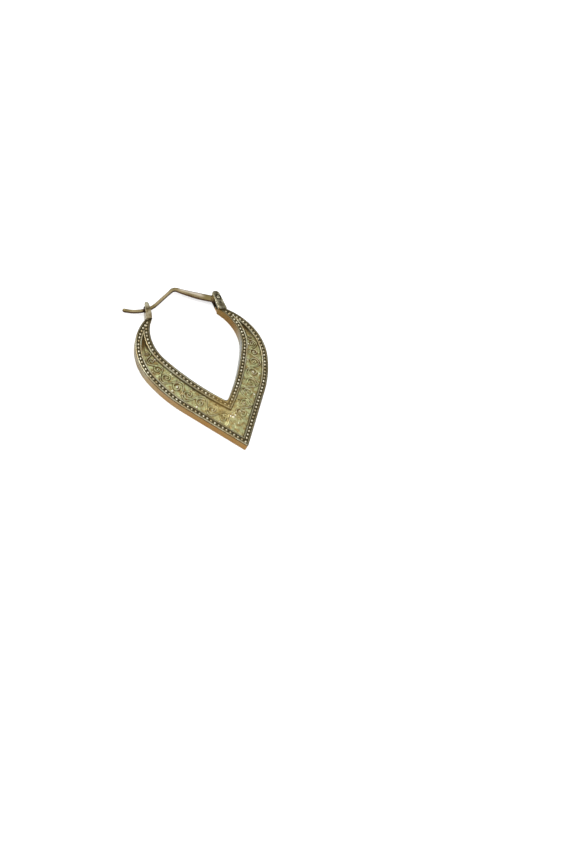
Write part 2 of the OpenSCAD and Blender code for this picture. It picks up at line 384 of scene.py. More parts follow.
def add_node(tree, kind, inputs, **settings):
    """A new node. Each input gets a value of its own, or the socket that it is to follow."""
    node = tree.nodes.new(kind)
    for name, value in settings.items():
        setattr(node, name, value)
    for name, value in inputs.items():
        if isinstance(value, bpy.types.NodeSocket):
            tree.links.new(value, node.inputs[name])
        else:
            node.inputs[name].default_value = value
    return node


def new_group(name, kind, inputs, outputs):
    """An empty node group. Inputs are rows of name, kind and value, outputs of name and kind."""
    group = bpy.data.node_groups.new(name, kind)
    for socket_name, socket_kind, value in inputs:
        socket = group.interface.new_socket(socket_name, in_out="INPUT", socket_type="NodeSocket" + socket_kind)
        if value is not None:
            socket.default_value = value
    for socket_name, socket_kind in outputs:
        group.interface.new_socket(socket_name, in_out="OUTPUT", socket_type="NodeSocket" + socket_kind)
    return group, group.nodes.new("NodeGroupInput").outputs, group.nodes.new("NodeGroupOutput").inputs


def noise(tree, vector, scale, detail, distortion=0.0):
    """A noise in space. Its value lies round one half."""
    inputs = {"Vector": vector, "Scale": scale, "Detail": detail, "Distortion": distortion}
    return add_node(tree, "ShaderNodeTexNoise", inputs).outputs["Fac"]


def math_node(tree, operation, *values):
    return add_node(tree, "ShaderNodeMath", dict(enumerate(values)), operation=operation).outputs[0]


def spread(tree, value, low, high, to_low=0.0, to_high=1.0):
    """The value from low to high, eased, as a number from to_low to to_high."""
    inputs = {"Value": value, "From Min": low, "From Max": high, "To Min": to_low, "To Max": to_high}
    return add_node(tree, "ShaderNodeMapRange", inputs, interpolation_type="SMOOTHSTEP").outputs["Result"]


def blend_colours(tree, share, colour_a, colour_b):
    return add_node(tree, "ShaderNodeMix", {0: share, 6: colour_a, 7: colour_b}, data_type="RGBA").outputs[2]

# %% Group: oxide in the hollows, and painted shade
GRAIN_PER_M = 7000
GRAIN_SHARE = 0.7
OXIDE_EDGE = (0.25, 0.9)
CLOUD_EDGE = (0.36, 0.64)
CLOUD_ROUGHNESS = 0.07


def oxide_and_shade_group():
    inputs = (
        ("Vector", "Vector", None), ("Oxide And Shade Mask", "Float", 0.0), ("Metal", "Color", (0.6, 0.5, 0.3, 1)),
        ("Bloom", "Color", (0.5, 0.4, 0.2, 1)), ("Oxide And Shade Colour", "Color", (0.03, 0.02, 0.01, 1)),
        ("Cloud Size", "Float", 600.0), ("Polished", "Float", 0.2), ("Dull", "Float", 0.6),
    )
    outputs = (("Color", "Color"), ("Roughness", "Float"))
    group, given, result = new_group("oxide_and_painted_shade", "ShaderNodeTree", inputs, outputs)
    place = given["Vector"]
    cloud = spread(group, noise(group, place, given["Cloud Size"], 3), *CLOUD_EDGE)
    metal = blend_colours(group, cloud, given["Metal"], given["Bloom"])
    grain = math_node(group, "SUBTRACT", noise(group, place, GRAIN_PER_M, 2), 0.5)
    rough_edge = math_node(group, "MULTIPLY_ADD", grain, GRAIN_SHARE, given["Oxide And Shade Mask"])
    mask = spread(group, rough_edge, *OXIDE_EDGE)
    colour = blend_colours(group, mask, metal, given["Oxide And Shade Colour"])
    roughness = spread(group, mask, 0, 1, given["Polished"], given["Dull"])
    roughness = math_node(group, "MULTIPLY_ADD", cloud, CLOUD_ROUGHNESS, roughness)
    group.links.new(colour, result["Color"])
    group.links.new(roughness, result["Roughness"])
    return group


oxide_and_shade_effect = oxide_and_shade_group()
print("group:", oxide_and_shade_effect.name)

# %% Group: marks of the hand
SCRATCH_WAVE = 1.5


def hand_marks_group():
    inputs = (
        ("Vector", "Vector", None), ("Scratch Size", "Float", 9000.0), ("Scratch Depth", "Float", 0.3),
        ("Dent Size", "Float", 1200.0), ("Dent Depth", "Float", 0.7),
    )
    group, given, result = new_group("marks_of_the_hand", "ShaderNodeTree", inputs, (("Height", "Float"),))
    scratch = noise(group, given["Vector"], given["Scratch Size"], 1, SCRATCH_WAVE)
    dent = noise(group, given["Vector"], given["Dent Size"], 2)
    height = math_node(group, "MULTIPLY", scratch, given["Scratch Depth"])
    height = math_node(group, "MULTIPLY_ADD", dent, given["Dent Depth"], height)
    group.links.new(height, result["Height"])
    return group


marks_effect = hand_marks_group()
print("group:", marks_effect.name)

# %% [markdown]
# A metal is then a short call: its gilding, its marks, how deep the marks are, and the direction
# in which it was polished. The Mapping node stretches the marks along that direction. A metal
# may also turn to a second gilding where a piece's attribute says so, as the hoop's walls do,
# from which the gold has worn down to copper.

# %% Make a metal


def gilding(base, bloom, darkening, cloud_size, polished=0.2, dull=0.6):
    """What the oxide group takes: two colours that cloud into each other, and the colour of the oxide and of
    any painted shade.
    """
    return {"Metal": base, "Bloom": bloom, "Oxide And Shade Colour": darkening, "Cloud Size": cloud_size,
            "Polished": polished, "Dull": dull}


def marks(scratch_size, scratch_depth, dent_size, dent_depth):
    return {"Scratch Size": scratch_size, "Scratch Depth": scratch_depth,
            "Dent Size": dent_size, "Dent Depth": dent_depth}


def attribute(tree, name):
    return add_node(tree, "ShaderNodeAttribute", {}, attribute_name=name).outputs["Fac"]


def object_place(tree):
    return add_node(tree, "ShaderNodeTexCoord", {}).outputs["Object"]


def with_oxide_and_shade(tree, gilt):
    """The outputs of the group for oxide and painted shade, with this gilding."""
    inputs = {"Vector": object_place(tree), "Oxide And Shade Mask": attribute(tree, "oxide_and_shade"), **gilt}
    return add_node(tree, "ShaderNodeGroup", inputs, node_tree=oxide_and_shade_effect).outputs


def metal(name, gilt, marked, mark_height, stretch=(1, 1, 1)):
    material = bpy.data.materials.new(name)
    material.use_nodes = True
    tree = material.node_tree
    shader = tree.nodes["Principled BSDF"].inputs
    shader["Metallic"].default_value = 1
    surface = with_oxide_and_shade(tree, gilt)
    tree.links.new(surface["Color"], shader["Base Color"])
    tree.links.new(surface["Roughness"], shader["Roughness"])
    along_grain = add_node(tree, "ShaderNodeMapping", {"Vector": object_place(tree), "Scale": stretch})
    inputs = {"Vector": along_grain.outputs["Vector"], **marked}
    marked_height = add_node(tree, "ShaderNodeGroup", inputs, node_tree=marks_effect).outputs["Height"]
    bump = add_node(tree, "ShaderNodeBump", {"Distance": mark_height, "Height": marked_height})
    tree.links.new(bump.outputs["Normal"], shader["Normal"])
    return material


def turn_to(material, name, gilt):
    """Where the piece's attribute of this name is 1, the metal takes the colours of this gilding."""
    tree = material.node_tree
    base_colour = tree.nodes["Principled BSDF"].inputs["Base Color"]
    so_far = base_colour.links[0].from_socket
    colour = blend_colours(tree, attribute(tree, name), so_far, with_oxide_and_shade(tree, gilt)["Color"])
    tree.links.new(colour, base_colour)

# %% [markdown]
# ## Colours
#
# Gilding over a copper-rich casting has no single colour. It is green gold where it is thick,
# rose where it is thin, and copper where it has gone, and the oxide under it runs from ochre to
# black. Each colour is named once here, so that neighbouring pieces share it.

# %% The colours of the gilding
GREEN_GOLD = (0.41, 0.43, 0.22, 1)
PALE_GOLD = (0.42, 0.40, 0.28, 1)
OCHRE_GOLD = (0.25, 0.185, 0.07, 1)
WARM_GOLD = (0.36, 0.285, 0.15, 1)
ROSE_GOLD = (0.62, 0.54, 0.41, 1)
BRIGHT_GOLD = (0.66, 0.62, 0.47, 1)
GLINT_WHITE = (0.95, 0.92, 0.84, 1)
GREY_GOLD = (0.41, 0.38, 0.265, 1)
DIM_GOLD = (0.16, 0.14, 0.075, 1)
COPPER_RED = (0.29, 0.15, 0.036, 1)
COPPER_TAN = (0.29, 0.175, 0.053, 1)
WIRE_PALE = (0.41, 0.325, 0.18, 1)
STREAK_HIGHLIGHT_WHITE = (1.0, 0.92, 0.86, 1)
WIRE_OCHRE = (0.215, 0.165, 0.065, 1)
STAIN_PALE = (0.52, 0.41, 0.18, 1)
STAIN_OCHRE = (0.33, 0.225, 0.07, 1)
COOL_GOLD = (0.27, 0.275, 0.225, 1)
COOL_GREY = (0.19, 0.2, 0.17, 1)
OXIDE_OCHRE = (0.25, 0.175, 0.06, 1)
WIRE_SHADE_RED = (0.07, 0.038, 0.02, 1)
OXIDE_BROWN = (0.10, 0.06, 0.018, 1)
OLIVE_OXIDE_AND_SHADE = (0.085, 0.068, 0.03, 1)
BLACK_OXIDE_AND_SHADE = (0.022, 0.015, 0.006, 1)

# %% [markdown]
# ## The hoop's body
#
# On the real earring the hoop is one casting. Its front carries a rounded rim, a groove for the
# milgrain, a thin second rim and the sunk field, and the same again from the other edge. The
# section across the band is the same all the way, only the field gets narrower. So the body is
# a loft: at each step along the edges a row of points goes across the front, down one wall,
# back under the band and up the other wall. A loft keeps the rims as clean, unbroken lines,
# which a sculpted or a remeshed surface would lose.

# %% The section across a border
EDGE_R = 0.14
CROWN_AT = 0.22
CROWN_W = 0.1
CROWN_H = 0.03
GROOVE_WALL = 0.06
FIELD_EDGE = 0.02
FIELD_SLOPE = 0.2
BODY_SINK = 0.06
BORDER_STEPS = (
    0, 0.02, 0.05, 0.09, 0.14, 0.2, 0.26, 0.31, 0.34, 0.37, 0.4, 0.46, 0.56, 0.67, 0.78, 0.88,
    0.94, 0.97, 1, 1.03, 1.07, 1.13, 1.19, 1.24, 1.29, 1.35, 1.41, 1.47, 1.53, 1.6,
)


def rim_height(u):
    """Height of a border's front at the distance u from its edge, before the field begins."""
    edge = HOOP_T - EDGE_R * (1 - np.sqrt(np.clip(1 - (1 - u / EDGE_R) ** 2, 0, 1)))
    z = np.where(u < EDGE_R, edge, HOOP_T)
    groove = smoothstep(RIM_W - GROOVE_WALL / 2, RIM_W + GROOVE_WALL / 2, u)
    groove *= 1 - smoothstep(GROOVE_TO - GROOVE_WALL / 2, GROOVE_TO + GROOVE_WALL / 2, u)
    crown = CROWN_H * (bell(CROWN_AT, CROWN_W, u) - 1)
    return z + crown * (u < RIM_W) - GROOVE_D * groove


def front_height(from_outer, from_inner):
    """Height of the body's front from the distances to both edges."""
    in_field = smoothstep(BORDER_W - FIELD_EDGE, BORDER_W + FIELD_SLOPE, np.minimum(from_outer, from_inner))
    field = HOOP_T - (FIELD_D + BODY_SINK) * in_field
    return np.minimum(np.minimum(rim_height(from_outer), rim_height(from_inner)), field)


print(f"the border is {BORDER_W:.2f} mm wide and its groove {GROOVE_D:.2f} mm deep")

# %% Rows across the band
FIELD_STEPS = 5
MOST_OF_HALF = 0.49


def band_rows(share):
    """Both ends of the rows across the band, at these shares of the way up the right arm."""
    ox, oy, oh = outer_edge(share * OUTER_LENGTH)
    ix, iy, ih = inner_edge(share * INNER_LENGTH)
    length = np.hypot(ix - ox, iy - oy)
    ex, ey = (ix - ox) / length, (iy - oy) / length
    outer_slant = -ex * np.sin(oh) + ey * np.cos(oh)
    inner_slant = -ex * np.sin(ih) + ey * np.cos(ih)
    return (ox, oy), (ex, ey), length, outer_slant, inner_slant


def on_rows(origin, direction, t):
    """x and y at the distances t along the rows."""
    return [start[:, None] + step[:, None] * t for start, step in zip(origin, direction)]


def border_steps(slant, length, rounded):
    """How far in from one end of each row the border's steps lie, and their distances from the edge.

    In a rounded corner the rim alone is narrower or wider, so that the groove stays sharp.
    """
    u = np.broadcast_to(np.array(BORDER_STEPS), (len(slant), len(BORDER_STEPS)))
    u = u * np.minimum(1, MOST_OF_HALF * (length * slant)[:, None] / BORDER_STEPS[-1])
    rim = np.clip(1 - u / RIM_W, 0, 1)
    return u / slant[:, None] + rounded[:, None] * rim, u


def across(length, outer_slant, inner_slant, outer_rounded, inner_rounded):
    """Places along each row, and their distances from the outer and from the inner edge."""
    from_outer, outer_u = border_steps(outer_slant, length, outer_rounded)
    from_inner, inner_u = border_steps(inner_slant, length, inner_rounded)
    last = length[:, None] - from_inner[:, ::-1]
    share = np.arange(1, FIELD_STEPS + 1) / (FIELD_STEPS + 1)
    between = from_outer[:, -1:] + (last[:, :1] - from_outer[:, -1:]) * share
    t = np.concatenate([from_outer, between, last], 1)
    count = len(BORDER_STEPS)
    to_outer, to_inner = t * outer_slant[:, None], (length[:, None] - t) * inner_slant[:, None]
    to_outer[:, :count], to_inner[:, -count:] = outer_u, inner_u[:, ::-1]
    return t, to_outer, to_inner


def both_arms(right, left=None):
    """The right arm's rows, with the left arm's before them. The first row is shared."""
    left = right if left is None else left
    return np.concatenate([left[:0:-1], right])


# %% Loft the body
BODY_ROWS = 300
ROW_CROWDING = 1.02
ARM_TOP = 1.011
WALL_STEPS = (0.97, 0.9, 0.75, 0.55, 0.35, 0.18, 0.08)
BACK_R = 0.12
BACK_LIFT = 0.3 * BACK_R
MIRROR = (-1, 1, 1)
share = ARM_TOP * np.linspace(0, 1, BODY_ROWS) ** ROW_CROWDING
origin, direction, length, outer_slant, inner_slant = band_rows(share)
outer_rounded = np.nan_to_num(to_rounded_corner(origin, direction, 0, POINT_HALF_ANGLE, POINT_R))
opening_met = to_rounded_corner(origin, direction, OPENING_LOW, OPENING_HALF_ANGLE, OPENING_R)
inner_rounded = np.nan_to_num(length - opening_met)
t, from_outer, from_inner = across(length, outer_slant, inner_slant, outer_rounded, inner_rounded)


def row_points(t, z):
    return np.stack(np.broadcast_arrays(*on_rows(origin, direction, t), z), -1)


wall_z = np.array(WALL_STEPS) * HOOP_T
back_in = np.array([BACK_LIFT, BACK_R])
back_t = np.concatenate([t[:, -1:] - back_in, t[:, :1] * 0.5 + t[:, -1:] * 0.5, t[:, :1] + back_in[::-1]], 1)
back_z = np.array([BACK_LIFT, 0, 0, 0, BACK_LIFT])
ring = np.concatenate([
    row_points(t, front_height(from_outer, from_inner)), row_points(t[:, -1:], wall_z),
    row_points(back_t, back_z), row_points(t[:, :1], wall_z)[:, ::-1],
], 1)
rings = both_arms(ring, ring * MIRROR)
print(f"{len(rings)} sections of {ring.shape[1]} points")

# %% [markdown]
# Where oxide stays follows from use. It fills the grooves and the narrow tips of the field, and a cloth takes
# it off the edges that stand proud, most of all at the shoulders, where the hoop is held. The light strip along
# the edges is partly that wear and partly a painted highlight, and the left arm's outer rim is painted lighter
# still at the shoulder as a highlight. How far up the arm a place lies is written as a share, 0 at the point
# and 1 at the top.

# %% Oxide on the body
SHOULDER = (0.5, 0.68)
SHOULDER_END = (0.92, 0.78)
ARM_END = (0.6, 0.85)
TIP_BEGINS = (0.74, 0.84)
GROOVE_FULL = (0.05, 0.2)
PALE_GROOVE = 0.25
PALE_GROOVE_ENDS = (0.4, 0.1)
WIDE_RIM_RISE = (0.4, 0.75)
WIDE_RIM_TOP = 0.72
BARE_AND_LIT_EDGE_W = 0.1
BARE_AND_LIT_EDGE, SHOULDER_BARE_AND_LIT_EDGE = 0.25, 1.0
THIN_INNER_RIM = (0.3, 0.55, 0.55, 0.38)
THIN_OUTER_RIM = (0.25, 0.45, 0.62, 0.4)
SLOPE_FROM, SLOPE_TO = BORDER_W - 0.05, BORDER_W + 0.1
INNER_SLOPE, OUTER_SLOPE = 0.3, 0.15
TIP_OXIDE = 0.75
INNER_WALL = (*ARM_END, 0.36, 0.56)
OUTER_WALL = ((0.6, 0.97), (0, 0.85))
SHOULDER_WALL = ((0.7, 0.97), (0.56, 0.25))
ARM_RIMS = (
    # the wide rim's oxide by the point, and how much painted highlight replaces it at the shoulder
    (0.66, 0.1), (0.5, 0.22),
)


def border_oxide_and_highlight(share, low_rim, shoulder_highlight):
    """Oxide on the front: in the grooves, on the rims beside them, on the slopes and in the tips, less a
    painted highlight along the edges and on the shoulders' rims.
    """
    depth = HOOP_T - front_height(from_outer, from_inner)
    nearest = np.minimum(from_outer, from_inner)
    by_inner = from_inner < from_outer
    held_and_lit = smoothstep(*SHOULDER, share) * smoothstep(*SHOULDER_END, share)
    in_groove = smoothstep(*GROOVE_FULL, depth) * (nearest < GROOVE_TO + GROOVE_WALL / 2)
    in_groove = in_groove * (1 - PALE_GROOVE * by_inner * smoothstep(*PALE_GROOVE_ENDS, share))
    # Painted highlight: the outer rim is kept light at the shoulders, most on the left arm, and a thin strip
    # along every edge is kept light, partly as wear and partly as painted highlight.
    wide_rim = changing(*WIDE_RIM_RISE, low_rim, WIDE_RIM_TOP, share) - shoulder_highlight * held_and_lit * ~by_inner
    bare_and_lit = (BARE_AND_LIT_EDGE + (SHOULDER_BARE_AND_LIT_EDGE - BARE_AND_LIT_EDGE) * held_and_lit) * smoothstep(BARE_AND_LIT_EDGE_W, 0, nearest)
    wide_rim = wide_rim * (1 - bare_and_lit) * (nearest < RIM_W + FIELD_EDGE)
    thin_rim = np.where(by_inner, changing(*THIN_INNER_RIM, share), changing(*THIN_OUTER_RIM, share))
    slope = np.where(by_inner, INNER_SLOPE, OUTER_SLOPE) * smoothstep(SLOPE_FROM, SLOPE_TO, nearest)
    in_tip = TIP_OXIDE * smoothstep(*TIP_BEGINS, share) * (nearest > BORDER_W)
    on_front = np.maximum(in_groove, wide_rim) + thin_rim * (nearest > GROOVE_TO) + slope + in_tip
    return np.clip(on_front, 0, 1)


up_arm = share[:, None]
at_shoulder = smoothstep(*SHOULDER, up_arm)
near_top = smoothstep(*ARM_END, up_arm)
outer_oxide = np.interp(WALL_STEPS, *OUTER_WALL) * (1 - at_shoulder)
outer_oxide = outer_oxide + np.interp(WALL_STEPS, *SHOULDER_WALL) * at_shoulder
inner_oxide = np.broadcast_to(changing(*INNER_WALL, up_arm), outer_oxide.shape)
around = [inner_oxide, np.zeros((len(share), len(back_z))), outer_oxide[:, ::-1]]
arm_oxide_and_highlight = [np.concatenate([border_oxide_and_highlight(up_arm, *rim), *around], 1) for rim in ARM_RIMS]
body_faces = loft_faces(len(rings), ring.shape[1])
body = make_piece("hoop_body", rings.reshape(-1, 3), body_faces, both_arms(*arm_oxide_and_highlight))

# %% [markdown]
# Round the corner of the opening the gilding has an ochre stain. It is a patch that fades out
# over the border and the field alike, so it belongs to a place and not to a piece. Each piece
# there stores the stain's strength at its own points.
#
# The rest of the body keeps its pale gold in front. The side walls have worn down to copper,
# less so at the shoulders, and the inner wall is a cool grey from the corner to the shoulder.
# One material covers all of it, so these changes run softly over the edges.

# %% The body's finish: pale gold in front, copper on the walls
STAIN_AT = (-1.2, 9.8)
STAIN_R = 3.0
STAIN_HEIGHT = 0.8
STAIN_STRENGTH = 0.85
STAIN = gilding(STAIN_PALE, STAIN_OCHRE, OXIDE_OCHRE, 1500)
FIRST_GREYING = (0.25, 0.45, 0, 0.2)
SHOULDER_GREYING = (*SHOULDER, 0, 0.5)


def stain_at(places):
    """The ochre stain at these places, given in the drawing's millimetres."""
    away = np.hypot(places[..., 0] - STAIN_AT[0], (places[..., 1] - STAIN_AT[1]) * STAIN_HEIGHT)
    return STAIN_STRENGTH * bell(0, STAIN_R, away)


front = slice(1, t.shape[1] - 1)
inner_wall = slice(t.shape[1] - 1, t.shape[1] + len(WALL_STEPS))
worn_to_copper = 1 - changing(*FIRST_GREYING, up_arm) - changing(*SHOULDER_GREYING, up_arm)
wall = np.broadcast_to(worn_to_copper, ring.shape[:2]).copy()
wall[:, front] = 0
wall[:, inner_wall] = near_top
cool = np.zeros_like(wall)
cool[:, inner_wall] = 1 - near_top
set_attribute(body.data, "wall", both_arms(wall))
set_attribute(body.data, "cool", both_arms(cool))
set_attribute(body.data, "stain", stain_at(rings) * (rings[..., 2] > 0.9 * HOOP_T - FIELD_D))
gilt_body = metal(
    "gilt_body", gilding(PALE_GOLD, WARM_GOLD, OLIVE_OXIDE_AND_SHADE, 500, 0.26, 0.62),
    marks(6000, 0.35, 900, 0.8), 2.2e-5, (1, 1, 6))
turn_to(gilt_body, "stain", STAIN)
turn_to(gilt_body, "cool", gilding(COOL_GOLD, COOL_GREY, OLIVE_OXIDE_AND_SHADE, 400))
turn_to(gilt_body, "wall", gilding(COPPER_RED, COPPER_TAN, OXIDE_BROWN, 260))
body.data.materials.append(gilt_body)
print(f"copper shows on {np.mean(wall > 0.5):.0%} of the body's points")

# %% [markdown]
# ## The vine in the field
#
# The field holds a running vine: a stem that swings from border to border, a curl that rolls
# up in each bend, leaves in the corners and a palmette in the point. On the model for the
# casting it was raised by hand, so every stroke is a soft, rounded ridge that tapers to its
# end. Each stroke is a line of points with a width and a height at each point. The relief is
# the highest of all strokes at each place of a fine grid that fills the field. A relief made
# this way stays one skin, as a casting is, with soft feet where dark oxide collects.
#
# Small round dots sit in the curls and beside them. Most of them carry a painted highlight, a near-white glint,
# and a few stay brown with oxide. A fixed seed decides how bright each one is.

# %% Strokes
STATION_ROWS = (
    # station along the outer edge, distance in from it, radius of the curl that follows
    (5.5, 2.75, 0.95), (8.1, 3.05, 0.98), (10.7, 3.12, 1.02), (13.5, 3.13, 1.06),
    (16.4, 3.12, 1.06), (19.4, 3.03, 1.02), (22.5, 2.86, 0.86), (25.3, 2.66, 0.62),
    (27.9, 2.36, 0.4), (29.8, 2.1, 0.0),
)
RELIEF_H = 0.24
LEAF_H = RELIEF_H * 0.85
DOT_H = RELIEF_H * 0.75
STEM_W = 0.16
CURL_W = 0.17
LEAF_W = 0.34
LEAF_TIP_W = 0.015
LEAF_START = 0.12
LEAF_SWELL, LEAF_ROUNDNESS = 0.85, 0.8
LEAF_SINK = 0.45
CURL_TURNS, CURL_END, CURL_TIGHTENING = 1.35, 0.2, 0.9
GLINT_SEED = 11
DOT_GLINT = (-0.6, 1)
glint_draw = np.random.default_rng(GLINT_SEED)


def band_point(station, distance_in):
    """A place in the band, counted along the outer edge and in from it."""
    x, y, heading = outer_edge(np.atleast_1d(np.asarray(station, float)))
    return np.stack(beside(x, y, heading, np.asarray(distance_in, float)), -1)


class Stroke:
    """A raised stroke: its line, and the half width and height at each point of the line."""

    def __init__(self, line, half_w, height, vein=0.0, bright=0.0):
        self.line = np.asarray(line, float)
        self.half_w = np.broadcast_to(half_w, len(self.line))
        self.height = np.broadcast_to(height, len(self.line))
        self.vein = vein
        self.bright = bright


def taper(count, start, end, power):
    """1 in the middle of a stroke, and these shares at its two ends."""
    t = np.linspace(0, 1, count)
    ends = start * (1 - t) + end * t
    return ends + (1 - ends) * np.sin(np.pi * t) ** power


def curl_line(centre, heading, side, radius, count=40):
    """A curl that leaves the stem along the heading and rolls up towards its centre."""
    t = np.linspace(0, 1, count)
    angle = heading + side * (math.radians(90) - t * CURL_TURNS * 2 * np.pi)
    r = radius * (1 - (1 - CURL_END) * t ** CURL_TIGHTENING)
    return centre + np.stack([r * np.cos(angle), r * np.sin(angle)], -1)


def leaf_line(foot, direction, length, bend, count=12):
    """A leaf's middle line: it sets out in one direction and bends by so much on its way."""
    angle = direction + bend * np.linspace(0, 1, count)
    step = length / (count - 1)
    x = foot[0] + np.concatenate([[0], np.cumsum(np.cos(angle[:-1]) * step)])
    y = foot[1] + np.concatenate([[0], np.cumsum(np.sin(angle[:-1]) * step)])
    return np.stack([x, y], -1)


def leaf(foot, direction, length, bend=0.0, width=LEAF_W, height=LEAF_H, vein=0.35):
    line = leaf_line(foot, direction, length, bend)
    t = np.linspace(0, 1, len(line))
    swell = np.clip(LEAF_START + (1 - LEAF_START) * t, 0, 1) ** LEAF_SWELL
    half_w = width / 2 * np.sin(np.pi * swell) ** LEAF_ROUNDNESS + LEAF_TIP_W
    return Stroke(line, half_w, height * (1 - LEAF_SINK * t), vein)


def berry(place, radius):
    """A low round dot. Its painted highlight is drawn anew: above 0 it is bright, and below 0 it stays brown.
    """
    place = np.asarray(place, float)
    return Stroke([place, place + 1e-4], radius, DOT_H, bright=glint_draw.uniform(*DOT_GLINT))


print(len(STATION_ROWS), "stations on each arm")

# %% Draw the vine
STEM_CLEARANCE = 0.34
STEM_STEPS = 16
STEM_END_W, STEM_END_H = 0.72, 0.85
STEM_ROUNDNESS = 0.9
WIDEST_CURL = 1.06
CURL_SHIFT, CURL_LEAN = 0.05, 0.45
CURL_TAPER = (0.75, 0.5, 0.6)
CURL_DOT_R = 0.2
SIDE_DOT_FORWARD, SIDE_DOT_OUT = 0.1, 1.42
SIDE_DOT_R, LEAST_SIDE_DOT_R = 0.24, 0.04
SIDE_LEAF_BACK, SIDE_LEAF_OUT, SIDE_LEAF_LENGTH = 0.7, 1.2, 1.4
SIDE_LEAF_W, SIDE_LEAF_BEND = LEAF_W * 0.8, 0.5
CORNER_LEAF_OUT, CORNER_LEAF_BEND = 0.12, 0.9
CORNER_LEAF_ROWS = (
    # how far the leaf leans from square across the band, its length
    (0.5, 1.25), (1.1, 0.95),
)
TIP_LEAF_FROM, TIP_LEAF_TO = (29.2, 2.15), (33.2, 1.62)
TIP_LEAF_STEPS = 12
TIP_LEAF_W = 0.26
PALMETTE_ROWS = (
    # direction from straight down in degrees, length, bend in degrees, width
    (0, 4.1, 0, 1.3), (34, 3.2, -14, 1.0), (70, 2.3, -22, 0.75), (108, 1.4, -30, 0.45),
    (146, 1.1, -20, 0.36),
)
PALMETTE_HUB = (0, 6.75)
PALMETTE_HUB_R = 0.36
PETAL_START = 0.3
PETAL_H = RELIEF_H * 0.4
PETAL_VEIN = 0.12
BERRY_ROWS = ((0, 0.72, 0.22), (0.5, 0.35, 0.2), (1.0, -0.75, 0.22), (0.4, -1.5, 0.2), (1.8, 0.85, 0.24))


def stem_stroke(rows):
    """The stem's line: it crosses the middle at every station and swings out between them."""
    stations, distances = [], []
    t = np.linspace(0, 1, STEM_STEPS, endpoint=False)
    for number, (row, following) in enumerate(zip(rows[:-1], rows[1:])):
        side = 1 if number % 2 == 0 else -1
        middle = row[1] + (following[1] - row[1]) * t
        swing = (middle - BORDER_W - STEM_CLEARANCE) * np.sin(np.pi * t) ** STEM_ROUNDNESS * side
        stations.append(row[0] + (following[0] - row[0]) * t)
        distances.append(middle + swing)
    line = band_point(np.concatenate(stations), np.concatenate(distances))
    half_w = STEM_W * np.linspace(1, STEM_END_W, len(line)) * 0.9
    return Stroke(line, half_w, RELIEF_H * np.linspace(1, STEM_END_H, len(line)))


def cell_strokes(row, following, side):
    """What one bend of the stem holds: its curl, a dot in it and beside it, and leaves at its corners."""
    here, there = band_point(row[0], row[1])[0], band_point(following[0], following[1])[0]
    centre = (here + there) / 2
    span = there - here
    forward = span / np.hypot(*span)
    heading = math.atan2(span[1], span[0])
    sideways = np.array([-math.sin(heading), math.cos(heading)]) * side
    outward = math.atan2(sideways[1], sideways[0])
    radius = row[2]
    room = radius / WIDEST_CURL
    curl_centre = centre - sideways * CURL_SHIFT
    curl = curl_line(curl_centre, heading + side * CURL_LEAN, side, radius)
    beside_curl = centre + (SIDE_DOT_FORWARD * forward - SIDE_DOT_OUT * sideways) * room
    leaf_foot = centre - sideways * radius * SIDE_LEAF_OUT - forward * SIDE_LEAF_BACK * room
    strokes = [
        Stroke(curl, CURL_W * room * taper(len(curl), *CURL_TAPER), RELIEF_H),
        berry(curl_centre, CURL_DOT_R * room),
        berry(beside_curl, SIDE_DOT_R * room + LEAST_SIDE_DOT_R),
        leaf(leaf_foot, heading, SIDE_LEAF_LENGTH * room, side * SIDE_LEAF_BEND, SIDE_LEAF_W * room),
    ]
    for lean, length in CORNER_LEAF_ROWS:
        direction = outward + math.pi - side * lean
        foot = here - sideways * CORNER_LEAF_OUT
        strokes.append(leaf(foot, direction, length * room, side * CORNER_LEAF_BEND, LEAF_W * room))
    return strokes


def vine_strokes():
    strokes = [stem_stroke(STATION_ROWS)]
    for number, (row, following) in enumerate(zip(STATION_ROWS[:-1], STATION_ROWS[1:])):
        strokes += cell_strokes(row, following, 1 if number % 2 == 0 else -1)
    tip = band_point(*np.linspace(TIP_LEAF_FROM, TIP_LEAF_TO, TIP_LEAF_STEPS).T)
    t = np.linspace(0, 1, TIP_LEAF_STEPS)
    strokes.append(Stroke(tip, TIP_LEAF_W * (1 - t) ** 0.7 + 0.03, RELIEF_H * (1 - 0.4 * t), vein=0.4))
    return strokes


def palmette_strokes():
    """The palmette's right half: broad, low petals round a bright hub, with dots between them."""
    hub = np.array(PALMETTE_HUB)
    strokes = [berry(hub, PALMETTE_HUB_R)]
    strokes += [berry(hub + (x, y), radius) for x, y, radius in BERRY_ROWS]
    for lean, length, bend, width in PALMETTE_ROWS:
        direction = math.radians(lean - 90)
        start = hub + PETAL_START * np.array([math.cos(direction), math.sin(direction)])
        strokes.append(leaf(start, direction, length, math.radians(bend), width, PETAL_H, PETAL_VEIN))
    return strokes


strokes = vine_strokes() + palmette_strokes()
print(len(strokes), "strokes on the right arm")

# %% [markdown]
# The strokes become a height over the grid of the field. Two light passes of smoothing across
# the grid stand for what the polishing brush does: crests and feet lose their last sharpness.
# How much lower a place lies than its neighbourhood says how much oxide stays there, and how much higher it
# lies says how bright its crest is. The dots keep a strength of their own, which paints a highlight on the
# bright ones and brown oxide on the rest.

# %% Raise the relief
FIELD_ROWS = 560
FIELD_COLUMNS = 84
FIELD_TUCK = 0.1
FIELD_TOP_SHARE = 0.885
PLATE_SINK = 0.25
RIDGE_ROUNDNESS = 0.6
VEIN_W = 0.2
BRUSH_PASSES = 2
NEIGHBOUR_PASSES = 24
FULL_HOLLOW = 0.3 * RELIEF_H
FULL_CREST = 0.45 * RELIEF_H
CREST_STRENGTH = 0.75
DOT_EDGE = (0.4, 0.8)
GROUND_OXIDE = 0.12
HOLLOW_OXIDE = (0.25, 0.5, 0.66, 0.96)
UPPER_ARM_OXIDE = (0.45, 0.8, 0, 0.44)
TIP_END_OXIDE = (0.72, 0.84, 0, 0.6)
BROWN_OXIDE = 1.4


